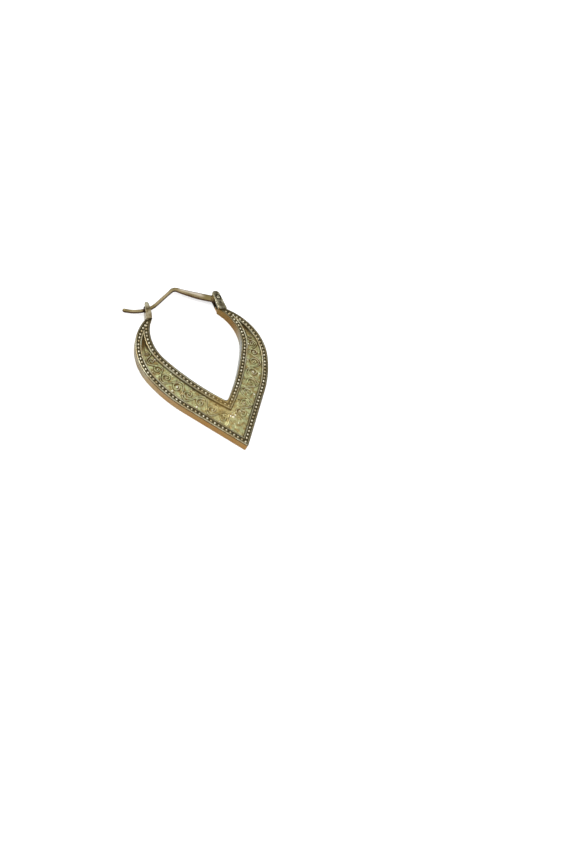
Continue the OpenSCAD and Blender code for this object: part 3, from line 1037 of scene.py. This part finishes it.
def stroke_heights(x, y, stroke):
    """Height of one stroke at the points that it reaches, as an index and the heights."""
    reach = float(stroke.half_w.max())
    low, high = stroke.line.min(0) - reach, stroke.line.max(0) + reach
    near = np.nonzero((x > low[0]) & (x < high[0]) & (y > low[1]) & (y < high[1]))[0]
    px, py = x[near], y[near]
    best = np.zeros(len(near))
    stations = list(zip(stroke.line, stroke.half_w, stroke.height))
    for (a, wa, ha), (b, wb, hb) in zip(stations[:-1], stations[1:]):
        d = b - a
        t = np.clip(((px - a[0]) * d[0] + (py - a[1]) * d[1]) / max(d @ d, 1e-12), 0, 1)
        q = np.hypot(px - a[0] - t * d[0], py - a[1] - t * d[1]) / (wa + (wb - wa) * t)
        ridge = (ha + (hb - ha) * t) * np.clip(1 - q * q, 0, 1) ** RIDGE_ROUNDNESS
        ridge *= 1 - stroke.vein * bell(0, VEIN_W, q)
        np.maximum(best, ridge, out=best)
    return near, best


def smoothed(grid, passes):
    for _ in range(passes):
        padded = np.pad(grid, 1, mode="edge")
        beside_it = padded[:-2, 1:-1] + padded[2:, 1:-1] + padded[1:-1, :-2] + padded[1:-1, 2:]
        grid = (beside_it + 4 * grid) / 8
    return grid


up_field = np.linspace(0, FIELD_TOP_SHARE, FIELD_ROWS)
origin, direction, length, outer_slant, inner_slant = band_rows(up_field)
tuck = BORDER_W + FIELD_SLOPE - FIELD_TUCK
first = np.minimum(tuck / outer_slant, length * MOST_OF_HALF)
last = length - np.minimum(tuck / inner_slant, length * MOST_OF_HALF)
t = first[:, None] + (last - first)[:, None] * np.linspace(0, 1, FIELD_COLUMNS)
x, y = on_rows(origin, direction, t)
height, dots = np.zeros(x.size), np.zeros(x.size)
for stroke in strokes:
    near, ridge = stroke_heights(x.ravel(), y.ravel(), stroke)
    height[near] = np.maximum(height[near], ridge)
    if stroke.bright:
        dot = stroke.bright * smoothstep(*DOT_EDGE, ridge / stroke.height.max())
        dots[near] = np.where(np.abs(dot) > np.abs(dots[near]), dot, dots[near])
dots = dots.reshape(x.shape)
# Painted highlight: the bright dots become near-white glints; the others get brown oxide.
brown, painted_glint = np.clip(-dots, 0, 1), np.clip(dots, 0, 1)
height = smoothed(height.reshape(x.shape), BRUSH_PASSES)
neighbourhood = smoothed(height, NEIGHBOUR_PASSES)
hollow = np.clip((neighbourhood - height) / FULL_HOLLOW, 0, 1)
crest = CREST_STRENGTH * np.clip((height - neighbourhood) / FULL_CREST, 0, 1)
up_field = up_field[:, None]
field_oxide_and_glint = GROUND_OXIDE * (1 - height / RELIEF_H) + changing(*HOLLOW_OXIDE, up_field) * hollow
field_oxide_and_glint = field_oxide_and_glint + changing(*UPPER_ARM_OXIDE, up_field) + changing(*TIP_END_OXIDE, up_field)
# The painted glints lose all their oxide.
field_oxide_and_glint = np.clip(field_oxide_and_glint + BROWN_OXIDE * brown, 0, 1) * (1 - painted_glint)
print(f"relief up to {height.max():.2f} mm over the field")


def field_plate(name, side):
    """A closed plate whose upper side is the relief, sunk into the body."""
    top = np.stack([side * x, y, HOOP_T - FIELD_D + height], -1)
    under = top[:, [-1, 0]].copy()
    under[..., 2] = HOOP_T - FIELD_D - PLATE_SINK
    ring = np.concatenate([top, under], 1)
    ring_oxide_and_glint = np.concatenate([field_oxide_and_glint, np.ones((len(x), 2))], 1)
    plate = make_piece(name, ring.reshape(-1, 3), loft_faces(len(x), ring.shape[1]), ring_oxide_and_glint)
    for attribute_name, values in (("crest", crest), ("painted_glint", painted_glint)):
        set_attribute(plate.data, attribute_name, np.pad(values, ((0, 0), (0, 2))))
    set_attribute(plate.data, "stain", stain_at(ring))
    return plate


fields = [field_plate("vine_field_right", 1), field_plate("vine_field_left", -1)]

# %% [markdown]
# The field is greener and duller than the borders, because no finger reaches its ground. Its crests are rubbed
# to rose gold, the bright dots carry a painted highlight nearly to white, and brown oxide lies between.

# %% The field's finish: green ground, rose crests and brown oxide
gilt_field = metal(
    "gilt_field", gilding(GREEN_GOLD, OCHRE_GOLD, OXIDE_BROWN, 1300, 0.42, 0.55),
    marks(6000, 0.5, 2600, 0.8), 3.0e-5)
turn_to(gilt_field, "crest", gilding(ROSE_GOLD, GREEN_GOLD, OXIDE_BROWN, 700))
turn_to(gilt_field, "stain", STAIN)
# Painted highlight: near-white glints on the bright dots.
turn_to(gilt_field, "painted_glint", gilding(GLINT_WHITE, BRIGHT_GOLD, OXIDE_BROWN, 1100))
for field in fields:
    field.data.materials.append(gilt_field)
print(f"crests cover {np.mean(crest > CREST_STRENGTH / 2):.0%} of the field")

# %% [markdown]
# ## Milgrain
#
# Milgrain is a row of small beads. A jeweller rolls them with a wheel or casts them in place,
# so they sit at an even step and differ only a little in size. A row that follows a path is
# what Geometry Nodes are for: the tree takes the middle line of a groove, puts points on it at
# an even step, and sets a ball on each point. Its sizes are named inputs, its variation comes
# from one fixed seed, and the balls are made real at the end, one mesh for both rows.

# %% A tree that beads a line
BEAD_SEGMENTS = 10
BEAD_RINGS = 6
BEAD_SPREAD = 0.03
BEAD_SEED = 7
SAME_BEAD = 0.0002


def milgrain_tree():
    inputs = (
        ("Lines", "Geometry", None), ("Pitch", "Float", BEAD_PITCH * MM),
        ("Bead Diameter", "Float", BEAD_D * MM), ("Size Spread", "Float", BEAD_SPREAD),
        ("Seed", "Int", BEAD_SEED), ("Material", "Material", None),
    )
    tree, given, result = new_group("milgrain_rows", "GeometryNodeTree", inputs, (("Beads", "Geometry"),))
    curve = add_node(tree, "GeometryNodeMeshToCurve", {"Mesh": given["Lines"]}).outputs["Curve"]
    steps = {"Curve": curve, "Length": given["Pitch"]}
    even = add_node(tree, "GeometryNodeResampleCurve", steps, mode="LENGTH").outputs["Curve"]
    points = add_node(tree, "GeometryNodeCurveToPoints", {"Curve": even}, mode="EVALUATED").outputs["Points"]
    joined = {"Geometry": points, "Distance": SAME_BEAD}
    points = add_node(tree, "GeometryNodeMergeByDistance", joined).outputs["Geometry"]

    radius = math_node(tree, "MULTIPLY", given["Bead Diameter"], 0.5)
    form = {"Segments": BEAD_SEGMENTS, "Rings": BEAD_RINGS, "Radius": radius}
    ball = add_node(tree, "GeometryNodeMeshUVSphere", form).outputs["Mesh"]
    smallest = math_node(tree, "SUBTRACT", 1, given["Size Spread"])
    size = add_node(tree, "FunctionNodeRandomValue", {2: smallest, 3: 1, "Seed": given["Seed"]}).outputs[1]

    placed = {"Points": points, "Instance": ball, "Scale": size}
    beads = add_node(tree, "GeometryNodeInstanceOnPoints", placed).outputs["Instances"]
    beads = add_node(tree, "GeometryNodeRealizeInstances", {"Geometry": beads}).outputs["Geometry"]
    beads = add_node(tree, "GeometryNodeSetShadeSmooth", {"Geometry": beads}).outputs["Geometry"]
    finished = {"Geometry": beads, "Material": given["Material"]}
    beads = add_node(tree, "GeometryNodeSetMaterial", finished).outputs["Geometry"]
    tree.links.new(beads, result["Beads"])
    return tree


def settle(piece):
    """Turn what the piece's modifiers make into its mesh."""
    evaluated = piece.evaluated_get(bpy.context.evaluated_depsgraph_get())
    made = bpy.data.meshes.new_from_object(evaluated)
    piece.modifiers.clear()
    piece.data = made


def run_tree(piece, tree, values):
    """Put the tree on a piece, with these values for its named inputs, and keep what it makes."""
    modifier = piece.modifiers.new(tree.name, "NODES")
    modifier.node_group = tree
    for item in tree.interface.items_tree:
        if item.in_out == "INPUT" and item.name in values:
            modifier[item.identifier] = values[item.name]
    settle(piece)


milgrain = milgrain_tree()
print("tree:", milgrain.name)

# %% Bead both grooves
BEAD_Z = HOOP_T - BEAD_D / 2
OUTER_STOP = 0.75
INNER_STOP = 1.95
ROW_GAP = 0.58
LINE_STEP = 0.1
TO_MIDDLE = (2.2, 0.9)
BEAD_SHADE_BAND = (0.13, 0.36)
BY_HINGE = (29.5, 31.5, 0, 0.45)


def row_inset(share):
    """How far in from its edge a row of beads lies. The two rows draw together as the arm narrows."""
    width = band_rows(share)[2]
    return np.minimum(BEAD_ROW, (width - ROW_GAP) / 2), width


def from_corner(corner_y, place):
    return np.concatenate([[[0, corner_y]], np.stack(place, -1)])


def outer_bead_line():
    """The outer row on the right arm, from the corner on. Its last bead sits in the band's middle."""
    s = np.arange(BEAD_ROW / math.tan(POINT_HALF_ANGLE), OUTER_LENGTH - OUTER_STOP, LINE_STEP)
    inset, width = row_inset(s / OUTER_LENGTH)
    inset += (width / 2 - inset) * smoothstep(OUTER_LENGTH - TO_MIDDLE[0], OUTER_LENGTH - TO_MIDDLE[1], s)
    return from_corner(BEAD_ROW / math.sin(POINT_HALF_ANGLE), beside(*outer_edge(s), inset))


def inner_bead_line():
    s = np.arange(0, INNER_LENGTH - INNER_STOP, LINE_STEP)
    inset = row_inset(s / INNER_LENGTH)[0]
    corner_y = OPENING_LOW - BEAD_ROW / math.sin(OPENING_HALF_ANGLE)
    return from_corner(corner_y, beside(*inner_edge(s), -inset))


def line_piece(name, lines):
    """A piece of bare edges in the frame's metres, a chain for each line and for its mirror image."""
    points, edges = [], []
    for line in lines:
        for side in (1, -1):
            edges += [(len(points) + i, len(points) + i + 1) for i in range(len(line) - 1)]
            points += [(side * x * MM, (y + POINT_Y) * MM, BEAD_Z * MM) for x, y in line]
    mesh = bpy.data.meshes.new(name)
    mesh.from_pydata(points, edges, [])
    return add_object(name, mesh)


gilt_beads = metal(
    "gilt_beads", gilding(BRIGHT_GOLD, WARM_GOLD, OLIVE_OXIDE_AND_SHADE, 900, 0.34, 0.55),
    marks(9000, 0.3, 3000, 0.5), 1.2e-5)
turn_to(gilt_beads, "stain", STAIN)
beads = line_piece("milgrain_beads", [outer_bead_line(), inner_bead_line()])
run_tree(beads, milgrain, {
    "Pitch": BEAD_PITCH * MM, "Bead Diameter": BEAD_D * MM, "Material": gilt_beads})
bead_places = mesh_points(beads) / MM - (0, POINT_Y, 0)
# Painted shade: each bead is darkened below its top, together with the groove's oxide, so only its top stays
# light.
shaded_low_sides = smoothstep(HOOP_T - BEAD_SHADE_BAND[0], HOOP_T - BEAD_SHADE_BAND[1], bead_places[:, 2])
by_hinge = changing(*BY_HINGE, bead_places[:, 1]) * (bead_places[:, 0] > 0)
set_attribute(beads.data, "oxide_and_shade", np.clip(shaded_low_sides + by_hinge, 0, 1))
set_attribute(beads.data, "stain", stain_at(bead_places))
print(f"{beads.name}: {len(beads.data.polygons) // (BEAD_SEGMENTS * BEAD_RINGS)} beads")

# %% [markdown]
# ## Catch and hinge ears
#
# The two fittings at the tops of the arms are filed from sheet and soldered on: a tab sawn into
# two prongs on the left, two ears with a slot between them on the right. A sawn and filed part
# has flat faces and edges that are only just rounded. So each starts as an extruded outline,
# real cutters take the slot and the holes out of it, and a fine remesh with a little smoothing
# rounds every edge by the same small amount, inside and out, as a tumbler does.

# %% Cut and round a fitting
FITTING_VOXEL = 0.042
FITTING_SMOOTHING = 4
SLOT_MARGIN = 0.03


def arc_points(centre, radius, start, turn, count):
    angle = np.radians(start + turn * np.linspace(0, 1, count))
    return [(centre[0] + radius * math.cos(a), centre[1] + radius * math.sin(a)) for a in angle]


def circle_points(centre, radius, count):
    return arc_points(centre, radius, 0, 360 * (1 - 1 / count), count)


def prism(name, outline, z_from, z_to):
    """A closed prism in millimetres, as a scratch object."""
    count = len(outline)
    points = [(x, y, z) for z in (z_from, z_to) for x, y in outline]
    faces = [tuple(range(count - 1, -1, -1)), tuple(range(count, 2 * count))]
    faces += [(i, (i + 1) % count, count + (i + 1) % count, count + i) for i in range(count)]
    mesh = bpy.data.meshes.new(name)
    mesh.from_pydata(points, [], faces)
    solid = bmesh.new()
    solid.from_mesh(mesh)
    bmesh.ops.recalc_face_normals(solid, faces=solid.faces)
    solid.to_mesh(mesh)
    solid.free()
    return add_object(name, mesh)


def rod(name, centre, axis, radius, length, count=32):
    """A round cutter in millimetres along an axis."""
    rounded = prism(name, circle_points((0, 0), radius, count), -length / 2, length / 2)
    turn = Vector(axis).to_track_quat("Z", "Y").to_matrix().to_4x4()
    rounded.data.transform(Matrix.Translation(centre) @ turn)
    return rounded


def block(name, centre, size, turn_z=0.0):
    """A box cutter in millimetres, turned about Z."""
    half_x, half_y, half_z = (side / 2 for side in size)
    outline = [(-half_x, -half_y), (half_x, -half_y), (half_x, half_y), (-half_x, half_y)]
    box = prism(name, outline, -half_z, half_z)
    box.data.transform(Matrix.Translation(centre) @ Matrix.Rotation(turn_z, 4, "Z"))
    return box


def cut(piece, cutters):
    for cutter in cutters:
        modifier = piece.modifiers.new("cut", "BOOLEAN")
        modifier.object = cutter
        modifier.operation = "DIFFERENCE"
        modifier.solver = "EXACT"
    settle(piece)
    for cutter in cutters:
        bpy.data.objects.remove(cutter)


def round_off(piece):
    """Remesh finely and smooth, so that every edge is rounded by the same small amount."""
    remesh = piece.modifiers.new("remesh", "REMESH")
    remesh.mode = "VOXEL"
    remesh.voxel_size = FITTING_VOXEL
    smooth = piece.modifiers.new("smooth", "SMOOTH")
    smooth.factor = 0.5
    smooth.iterations = FITTING_SMOOTHING
    settle(piece)
    piece.data.shade_smooth()


def into_frame(piece):
    """From the drawing's millimetres into the frame's metres."""
    piece.data.transform(Matrix.Scale(MM, 4) @ Matrix.Translation((0, POINT_Y, 0)))
    print(f"{piece.name}: {len(piece.data.polygons)} faces")


def finish_fitting(piece, oxide_and_shade, wall):
    set_attribute(piece.data, "oxide_and_shade", np.clip(oxide_and_shade, 0, 1))
    set_attribute(piece.data, "wall", wall)
    into_frame(piece)


def inside_slot(x, y, z, width, foot):
    """1 on the faces of a slot that lies across the thickness, above its foot."""
    return 1.0 * (np.abs(z - MIDDLE_Z) < width / 2 + SLOT_MARGIN) * (y > foot)

# %% The catch fork
CATCH_AT = (-7.6, 34.9)
CATCH_SLOPE = math.radians(11)
CATCH_TIP = (-7.28, 35.84)
CATCH_TIP_R = 0.42
CATCH_SLOT_W = 0.86
CATCH_SLOT_SIDES = (6, 4, CATCH_SLOT_W)
CATCH_FOOT_OUTLINE = [
    (-8.78, 31.78), (-7.75, 31.95), (-7.5, 32.08), (-7.36, 32.45), (-7.14, 33.2), (-6.96, 34.4),
]
CATCH_OUTER_OUTLINE = [(-7.88, 35.0), (-8.18, 34.0), (-8.5, 33.0), (-8.8, 32.2)]
SEAM_AT = (-8.3, 32.02)
SEAM_SLOPE = 0.05
SEAM_W = 0.1
SEAM_OXIDE = 0.9
UNDER_WIRE, UNDER_WIRE_SHADE = (34.75, 0.45), 0.55
TAB_TOP, TAB_OXIDE = 34.6, 0.28
TAB_INNER_EDGE = (-7.4, -7.1, 0, 0.4)
BACK_HALF_SHADE = 0.4
TAB_OLIVE = (35.4, 34.9, 0, 0.25)

along_wire = (math.cos(CATCH_SLOPE), math.sin(CATCH_SLOPE), 0)
half_slot = CATCH_SLOT_SIDES[1] / 2
slot_centre = (
    CATCH_AT[0] - half_slot * math.sin(CATCH_SLOPE), CATCH_AT[1] + half_slot * math.cos(CATCH_SLOPE), MIDDLE_Z)
catch_outline = CATCH_FOOT_OUTLINE + arc_points(CATCH_TIP, CATCH_TIP_R, 0, 180, 15) + CATCH_OUTER_OUTLINE
catch_fork = prism("catch_fork", catch_outline, 0, HOOP_T)
cut(catch_fork, [
    rod("slot_foot", (*CATCH_AT, MIDDLE_Z), along_wire, CATCH_SLOT_W / 2, CATCH_SLOT_SIDES[0]),
    block("slot_sides", slot_centre, CATCH_SLOT_SIDES, CATCH_SLOPE),
])
round_off(catch_fork)
x, y, z = mesh_points(catch_fork).T
# Painted shade, with oxide, on the faces inside the slot.
in_slot = inside_slot(x, y, z, CATCH_SLOT_W, CATCH_AT[1] - 0.5)
seam = SEAM_OXIDE * bell(0, SEAM_W, y - SEAM_AT[1] - SEAM_SLOPE * (x - SEAM_AT[0]))
# Painted shade on the back prong and on the catch where the wire crosses it.
at_edge = changing(*TAB_INNER_EDGE, x) + BACK_HALF_SHADE * (z < MIDDLE_Z)
by_wire = UNDER_WIRE_SHADE * bell(*UNDER_WIRE, y) + TAB_OXIDE * (y < TAB_TOP)
finish_fitting(catch_fork, np.maximum.reduce([at_edge, in_slot, by_wire]) + seam, changing(*TAB_OLIVE, y))

# %% The hinge ears
PIN_AT = (8.6, 35.2)
PIN_R = 0.35
PIN_CLEARANCE = 0.015
THROUGH = 6
EAR_LEFT, EAR_RIGHT, EAR_TOP = 7.58, 9.32, 36.9
EAR_R = (EAR_RIGHT - EAR_LEFT) / 2
EAR_MIDDLE = (EAR_LEFT + EAR_R, EAR_TOP - EAR_R)
EAR_FOOT_OUTLINE = [(EAR_LEFT, 32.3), (7.75, 32.08), (8.9, 31.9), (EAR_RIGHT, 31.95)]
EAR_SLOT_W = 0.72
EAR_SLOT_FOOT = 32.7
EAR_SLOT_SIDES = (4, 6, EAR_SLOT_W)
EAR_SLOT_AT = (8.5, EAR_SLOT_FOOT + EAR_SLOT_SIDES[1] / 2, MIDDLE_Z)
RIVET_SEAT_R = 0.6
RIVET_SEAT_D = 0.16
SEAT_RING_W = 0.2
DIMPLE_AT = (8.52, 33.7)
DIMPLE_R = 0.21
DIMPLE_D = 0.22
DIMPLE_RING_W = 0.12
DIMPLE_OXIDE = 0.7
BACK_EAR_SHADE = (33.1, 34.0, 0, 0.9)
EAR_EDGE_HIGHLIGHT = (0.85, 0.4, 0.2, 0.62)
FRONT_SIDE_TOP, BACK_SIDE_TOP = EAR_SLOT_FOOT + 0.1, 33.9
SIDE_FADE = 0.4

hinge_ears = prism("hinge_ears", EAR_FOOT_OUTLINE + arc_points(EAR_MIDDLE, EAR_R, 0, 180, 25), 0, HOOP_T)
cut(hinge_ears, [
    block("ear_slot", EAR_SLOT_AT, EAR_SLOT_SIDES),
    rod("pin_bore", (*PIN_AT, MIDDLE_Z), (0, 0, 1), PIN_R + PIN_CLEARANCE, THROUGH),
    rod("rivet_seat", (*PIN_AT, HOOP_T), (0, 0, 1), RIVET_SEAT_R, 2 * RIVET_SEAT_D),
    rod("dimple", (*DIMPLE_AT, HOOP_T), (0, 0, 1), DIMPLE_R, 2 * DIMPLE_D),
])
round_off(hinge_ears)
x, y, z = mesh_points(hinge_ears).T
# Painted shade, with oxide, on the faces inside the slot.
in_slot = inside_slot(x, y, z, EAR_SLOT_W, EAR_SLOT_FOOT - 0.1)
from_pin = np.hypot(x - PIN_AT[0], y - PIN_AT[1])
from_dimple = np.hypot(x - DIMPLE_AT[0], y - DIMPLE_AT[1])
seat_ring = smoothstep(RIVET_SEAT_R + SEAT_RING_W, RIVET_SEAT_R, from_pin) * (z > MIDDLE_Z)
in_dimple = DIMPLE_OXIDE * smoothstep(DIMPLE_R + DIMPLE_RING_W, DIMPLE_R, from_dimple) * (z > MIDDLE_Z)
# Painted shade on the back ear, and painted shade in the ears' middle, with edges kept light as a painted
# highlight.
back_ear_shade = changing(*BACK_EAR_SHADE, y) * (z < MIDDLE_Z)
ear_edge_highlight = changing(*EAR_EDGE_HIGHLIGHT, np.abs(x - EAR_MIDDLE[0]) / EAR_R)
side_top = np.where(z < MIDDLE_Z, BACK_SIDE_TOP, FRONT_SIDE_TOP)
on_side = smoothstep(side_top, side_top - SIDE_FADE, y) * (z < HOOP_T - 0.1)
finish_fitting(hinge_ears, np.maximum.reduce([in_slot, seat_ring, in_dimple, back_ear_shade, ear_edge_highlight]), on_side)

# %% [markdown]
# The fittings are greyer than the casting, with black oxide round the rivet and in the seam where the tab was
# soldered on, and black oxide with painted shade in the slots. The back prong, the back ear and the catch where
# the wire crosses it are darkened as painted shade, and the ears' front is painted darker in the middle,
# between edges kept light as a painted highlight. Their lower sides have worn to copper as the hoop's walls
# have, so the two metals meet without a line.

# %% The fittings' finish: greyer and darker than the casting
gilt_fittings = metal(
    "gilt_fittings", gilding(GREY_GOLD, DIM_GOLD, BLACK_OXIDE_AND_SHADE, 1200, 0.24),
    marks(5000, 0.5, 1400, 0.7), 2.0e-5, (1, 3, 1))
turn_to(gilt_fittings, "wall", gilding(COPPER_RED, COPPER_TAN, OLIVE_OXIDE_AND_SHADE, 260))
for fitting in (catch_fork, hinge_ears):
    fitting.data.materials.append(gilt_fittings)
print("fittings:", [fitting.name for fitting in (catch_fork, hinge_ears)])

# %% [markdown]
# ## Rivet
#
# The hinge turns on a rivet: a pin through both ears, hammered to a low dome at the front. Its form is turned,
# so a profile of radius and height goes round an axis. The dome's middle is flat from the hammer, and its edge
# is rolled down towards its seat. The middle is left bright as a painted highlight, and the edge is painted
# darker as shade.

# %% Turn the rivet
RIVET_ROWS = (
    (0.0, 0.02), (0.3, 0.02), (0.35, 0.06), (0.35, 1.72), (0.52, 1.755), (0.55, 1.78), (0.545, 1.81),
    (0.5, 1.845), (0.42, 1.868), (0.3, 1.882), (0.15, 1.888), (0.0, 1.89),
)
RIVET_SIDES = 48
DOME_SHADE_EDGE = (0.3, 0.46)
RIVET_CREASE = math.radians(50)


def turned_piece(name, rows, centre, sides):
    """A closed lathe form from rows of radius and height. Its first and last radius are 0."""
    points = [(*centre, rows[0][1])]
    for radius, z in rows[1:-1]:
        points += [(x, y, z) for x, y in circle_points(centre, radius, sides)]
    points.append((*centre, rows[-1][1]))
    top, last = len(points) - 1, 1 + sides * (len(rows) - 3)
    faces = [(0, 1 + (i + 1) % sides, 1 + i) for i in range(sides)]
    for ring in range(len(rows) - 3):
        a, b = 1 + ring * sides, 1 + (ring + 1) * sides
        faces += [(a + i, a + (i + 1) % sides, b + (i + 1) % sides, b + i) for i in range(sides)]
    faces += [(top, last + i, last + (i + 1) % sides) for i in range(sides)]
    away = np.hypot(*(np.array(points)[:, :2] - centre).T)
    # Painted shade towards the dome's rim, which leaves a painted highlight in its middle.
    return make_piece(name, points, faces, smoothstep(*DOME_SHADE_EDGE, away))


rivet = turned_piece("hinge_rivet", RIVET_ROWS, PIN_AT, RIVET_SIDES)
rivet.data.set_sharp_from_angle(angle=RIVET_CREASE)
rivet.data.materials.append(metal(
    "gilt_rivet", gilding(BRIGHT_GOLD, DIM_GOLD, BLACK_OXIDE_AND_SHADE, 2500, 0.16, 0.5),
    marks(8000, 0.3, 3000, 0.6), 1.5e-5))

# %% [markdown]
# ## Ear wire
#
# The ear wire is one piece of round wire. Its hinge end is hammered flat and drilled for the
# rivet, it widens a little where it was hammered, and its free end is rounded so that it goes
# through an ear. A loft along the bent line follows this: each section is a circle that becomes
# a flat, soft-edged bar towards the hinge, and the sections shrink to a dome at both ends.
#
# The flat end carries a painted highlight, a white streak along its middle, with a dark line of painted shade
# beside it. Both are bands in the angle round the wire, so they follow its bends. The wire's sides and
# underside, the stretch by the ears and the spot where it passes the catch are painted darker as shade as well.

# %% Loft the ear wire
WIRE_START = (*PIN_AT, math.radians(161))
WIRE_ROWS = [(37, -13.4), (1.3, 66.4), (0, 5.26), (7, -60)]
WIRE_LENGTH = total_length(WIRE_ROWS)
WIRE_R = 0.38
WIRE_SIDES = 40
EYE_R = 0.86
EYE_FULL = 0.35
EYE_HOLE_R = 0.39
EYE_TURN = (math.radians(176), math.radians(100))
PADDLE_T = 0.62
PADDLE = (0.6, 6.9)
PADDLE_SQUARENESS = 0.9
HALF_WIDTH_ROWS = (
    # distance from the pin, half of the wire's width there
    (EYE_FULL, EYE_R), (4.4, EYE_R), (6.5, 0.72), (8.6, 0.56), (10.2, 0.42), (11.2, WIRE_R),
)
TAIL_R = 0.4
TAIL_SWELL = 1.2
TAIL_ANGLES = (12, 24, 36, 48, 58, 67, 75, 82, 87)
CATCH_SHADOW = (18.8, 0.5)
STREAK, STREAK_LENGTH = (-0.2, 0.38), ((2.4, 4.4), (9.0, 7.0))
DARK_LINE, DARK_LINE_LENGTH = (0.42, 0.16), ((2.2, 3.2), (9.0, 7.0))
DARK_LINE_SHADE = 0.6
DARK_SIDE_FROM, DARK_SIDE_TO = 0.5, 0.95
DARK_SIDE_SHADE = 0.85
WIDER_SIDE, WIDER_SIDE_LENGTH = 0.25, ((2.5, 4.5), (10, 6))
NEAR_EAR_SHADE = (1.9, 1.3, 0, 0.6)
WIRE_CREASE = math.radians(45)


def wire_section(s):
    """Half width, half thickness and squareness of the wire at the distance s from the pin."""
    flat = 1 - smoothstep(*PADDLE, s)
    half_w = np.interp(s, *np.transpose(HALF_WIDTH_ROWS))
    eye = np.sqrt(np.clip(EYE_R ** 2 - s ** 2, 0, None))
    half_w = np.where(s < EYE_FULL, eye, np.maximum(half_w, eye))
    half_t = WIRE_R + (PADDLE_T / 2 - WIRE_R) * flat
    dome = np.sqrt(np.clip(1 - np.clip((s - WIRE_LENGTH) / TAIL_R, 0, 1) ** 2, 0, 1))
    swell = 1 + (TAIL_R / WIRE_R - 1) * smoothstep(WIRE_LENGTH - TAIL_SWELL, WIRE_LENGTH, s)
    return half_w * dome * swell, half_t * dome * swell, 2 + PADDLE_SQUARENESS * flat


def within(ends, s):
    """1 between the two ends of a stretch of the wire, eased at both."""
    return smoothstep(*ends[0], s) * smoothstep(*ends[1], s)


def wire_light_and_shade(s, ca, sa):
    """Painted shade on the wire, and where its white painted highlight lies, from the distance and the angle
    round it.
    """
    side_from = DARK_SIDE_FROM - WIDER_SIDE * within(WIDER_SIDE_LENGTH, s)
    # Painted shade on the wire's sides and underside, wider along the flat end.
    at_sides = smoothstep(side_from, DARK_SIDE_TO, np.abs(ca)) * (sa > 0) + (sa <= 0)
    dark_line = DARK_LINE_SHADE * bell(*DARK_LINE, ca) * within(DARK_LINE_LENGTH, s)
    # Painted shadow where the wire passes the catch, and painted shade where it goes between the ears.
    darkening = (DARK_SIDE_SHADE * at_sides, bell(*CATCH_SHADOW, s), changing(*NEAR_EAR_SHADE, s), dark_line)
    painted_streak = bell(*STREAK, ca) * (sa > 0) * within(STREAK_LENGTH, s)
    return np.maximum.reduce(np.broadcast_arrays(*darkening)), painted_streak


def wire_rings(stations):
    on_line = np.clip(stations, 0, WIRE_LENGTH)
    x, y, heading = along(WIRE_START, WIRE_ROWS, on_line)
    past = stations - on_line
    x, y = x + past * np.cos(heading), y + past * np.sin(heading)
    half_w, half_t, square = wire_section(stations)
    angle = 2 * np.pi * (np.arange(WIRE_SIDES) + 0.5) / WIRE_SIDES
    ca, sa = np.cos(angle)[None, :], np.sin(angle)[None, :]
    power = 2 / square[:, None]
    side = half_w[:, None] * np.sign(ca) * np.abs(ca) ** power
    rise = half_t[:, None] * np.sign(sa) * np.abs(sa) ** power
    px, py = beside(x[:, None], y[:, None], heading[:, None], side)
    return np.stack([px, py, MIDDLE_Z + rise], -1), *wire_light_and_shade(stations[:, None], ca, sa)


stations = np.concatenate([
    EYE_R * np.cos(np.linspace(*EYE_TURN, 16)), np.linspace(0, 0.8, 12),
    np.linspace(0.9, WIRE_LENGTH - TAIL_SWELL - 0.1, 170),
    np.linspace(WIRE_LENGTH - TAIL_SWELL, WIRE_LENGTH, 12),
    WIRE_LENGTH + TAIL_R * np.sin(np.radians(TAIL_ANGLES)),
])
rings, wire_shade, painted_streak = wire_rings(stations)
ear_wire = make_piece("ear_wire_bent", rings.reshape(-1, 3), loft_faces(len(rings), WIRE_SIDES), wire_shade)
set_attribute(ear_wire.data, "painted_streak", painted_streak)
eye_cutter = rod("eye_hole", (*PIN_AT, MIDDLE_Z), (0, 0, 1), EYE_HOLE_R, 3)
into_frame(eye_cutter)
cut(ear_wire, [eye_cutter])
ear_wire.data.set_sharp_from_angle(angle=WIRE_CREASE)
# The wire's clouding of pale and ochre gilding partly paints streaky reflections along it.
gilt_wire = metal(
    "gilt_wire", gilding(WIRE_PALE, WIRE_OCHRE, WIRE_SHADE_RED, 240, 0.2, 0.45),
    marks(6000, 0.25, 700, 0.4), 1.6e-5, (1, 4, 4))
turn_to(gilt_wire, "painted_streak", gilding(STREAK_HIGHLIGHT_WHITE, ROSE_GOLD, OXIDE_BROWN, 400))
ear_wire.data.materials.append(gilt_wire)
print(f"ear wire {WIRE_LENGTH:.1f} mm along its bends")

# %% [markdown]
# ## Ready for the library
#
# Each piece is attached to the body it moves with, and the imported part that it replaces is hidden. The
# casting's pieces and the rivet ride on the hoop, and the ear wire on its own body.

# %% Bodies and hidden parts
for piece in (body, *fields, beads, catch_fork, hinge_ears):
    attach(piece, "hoop")
    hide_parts("hoop_frame")
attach(rivet, "hoop")
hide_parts("hinge_pin")
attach(ear_wire, "wire")
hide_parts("ear_wire")
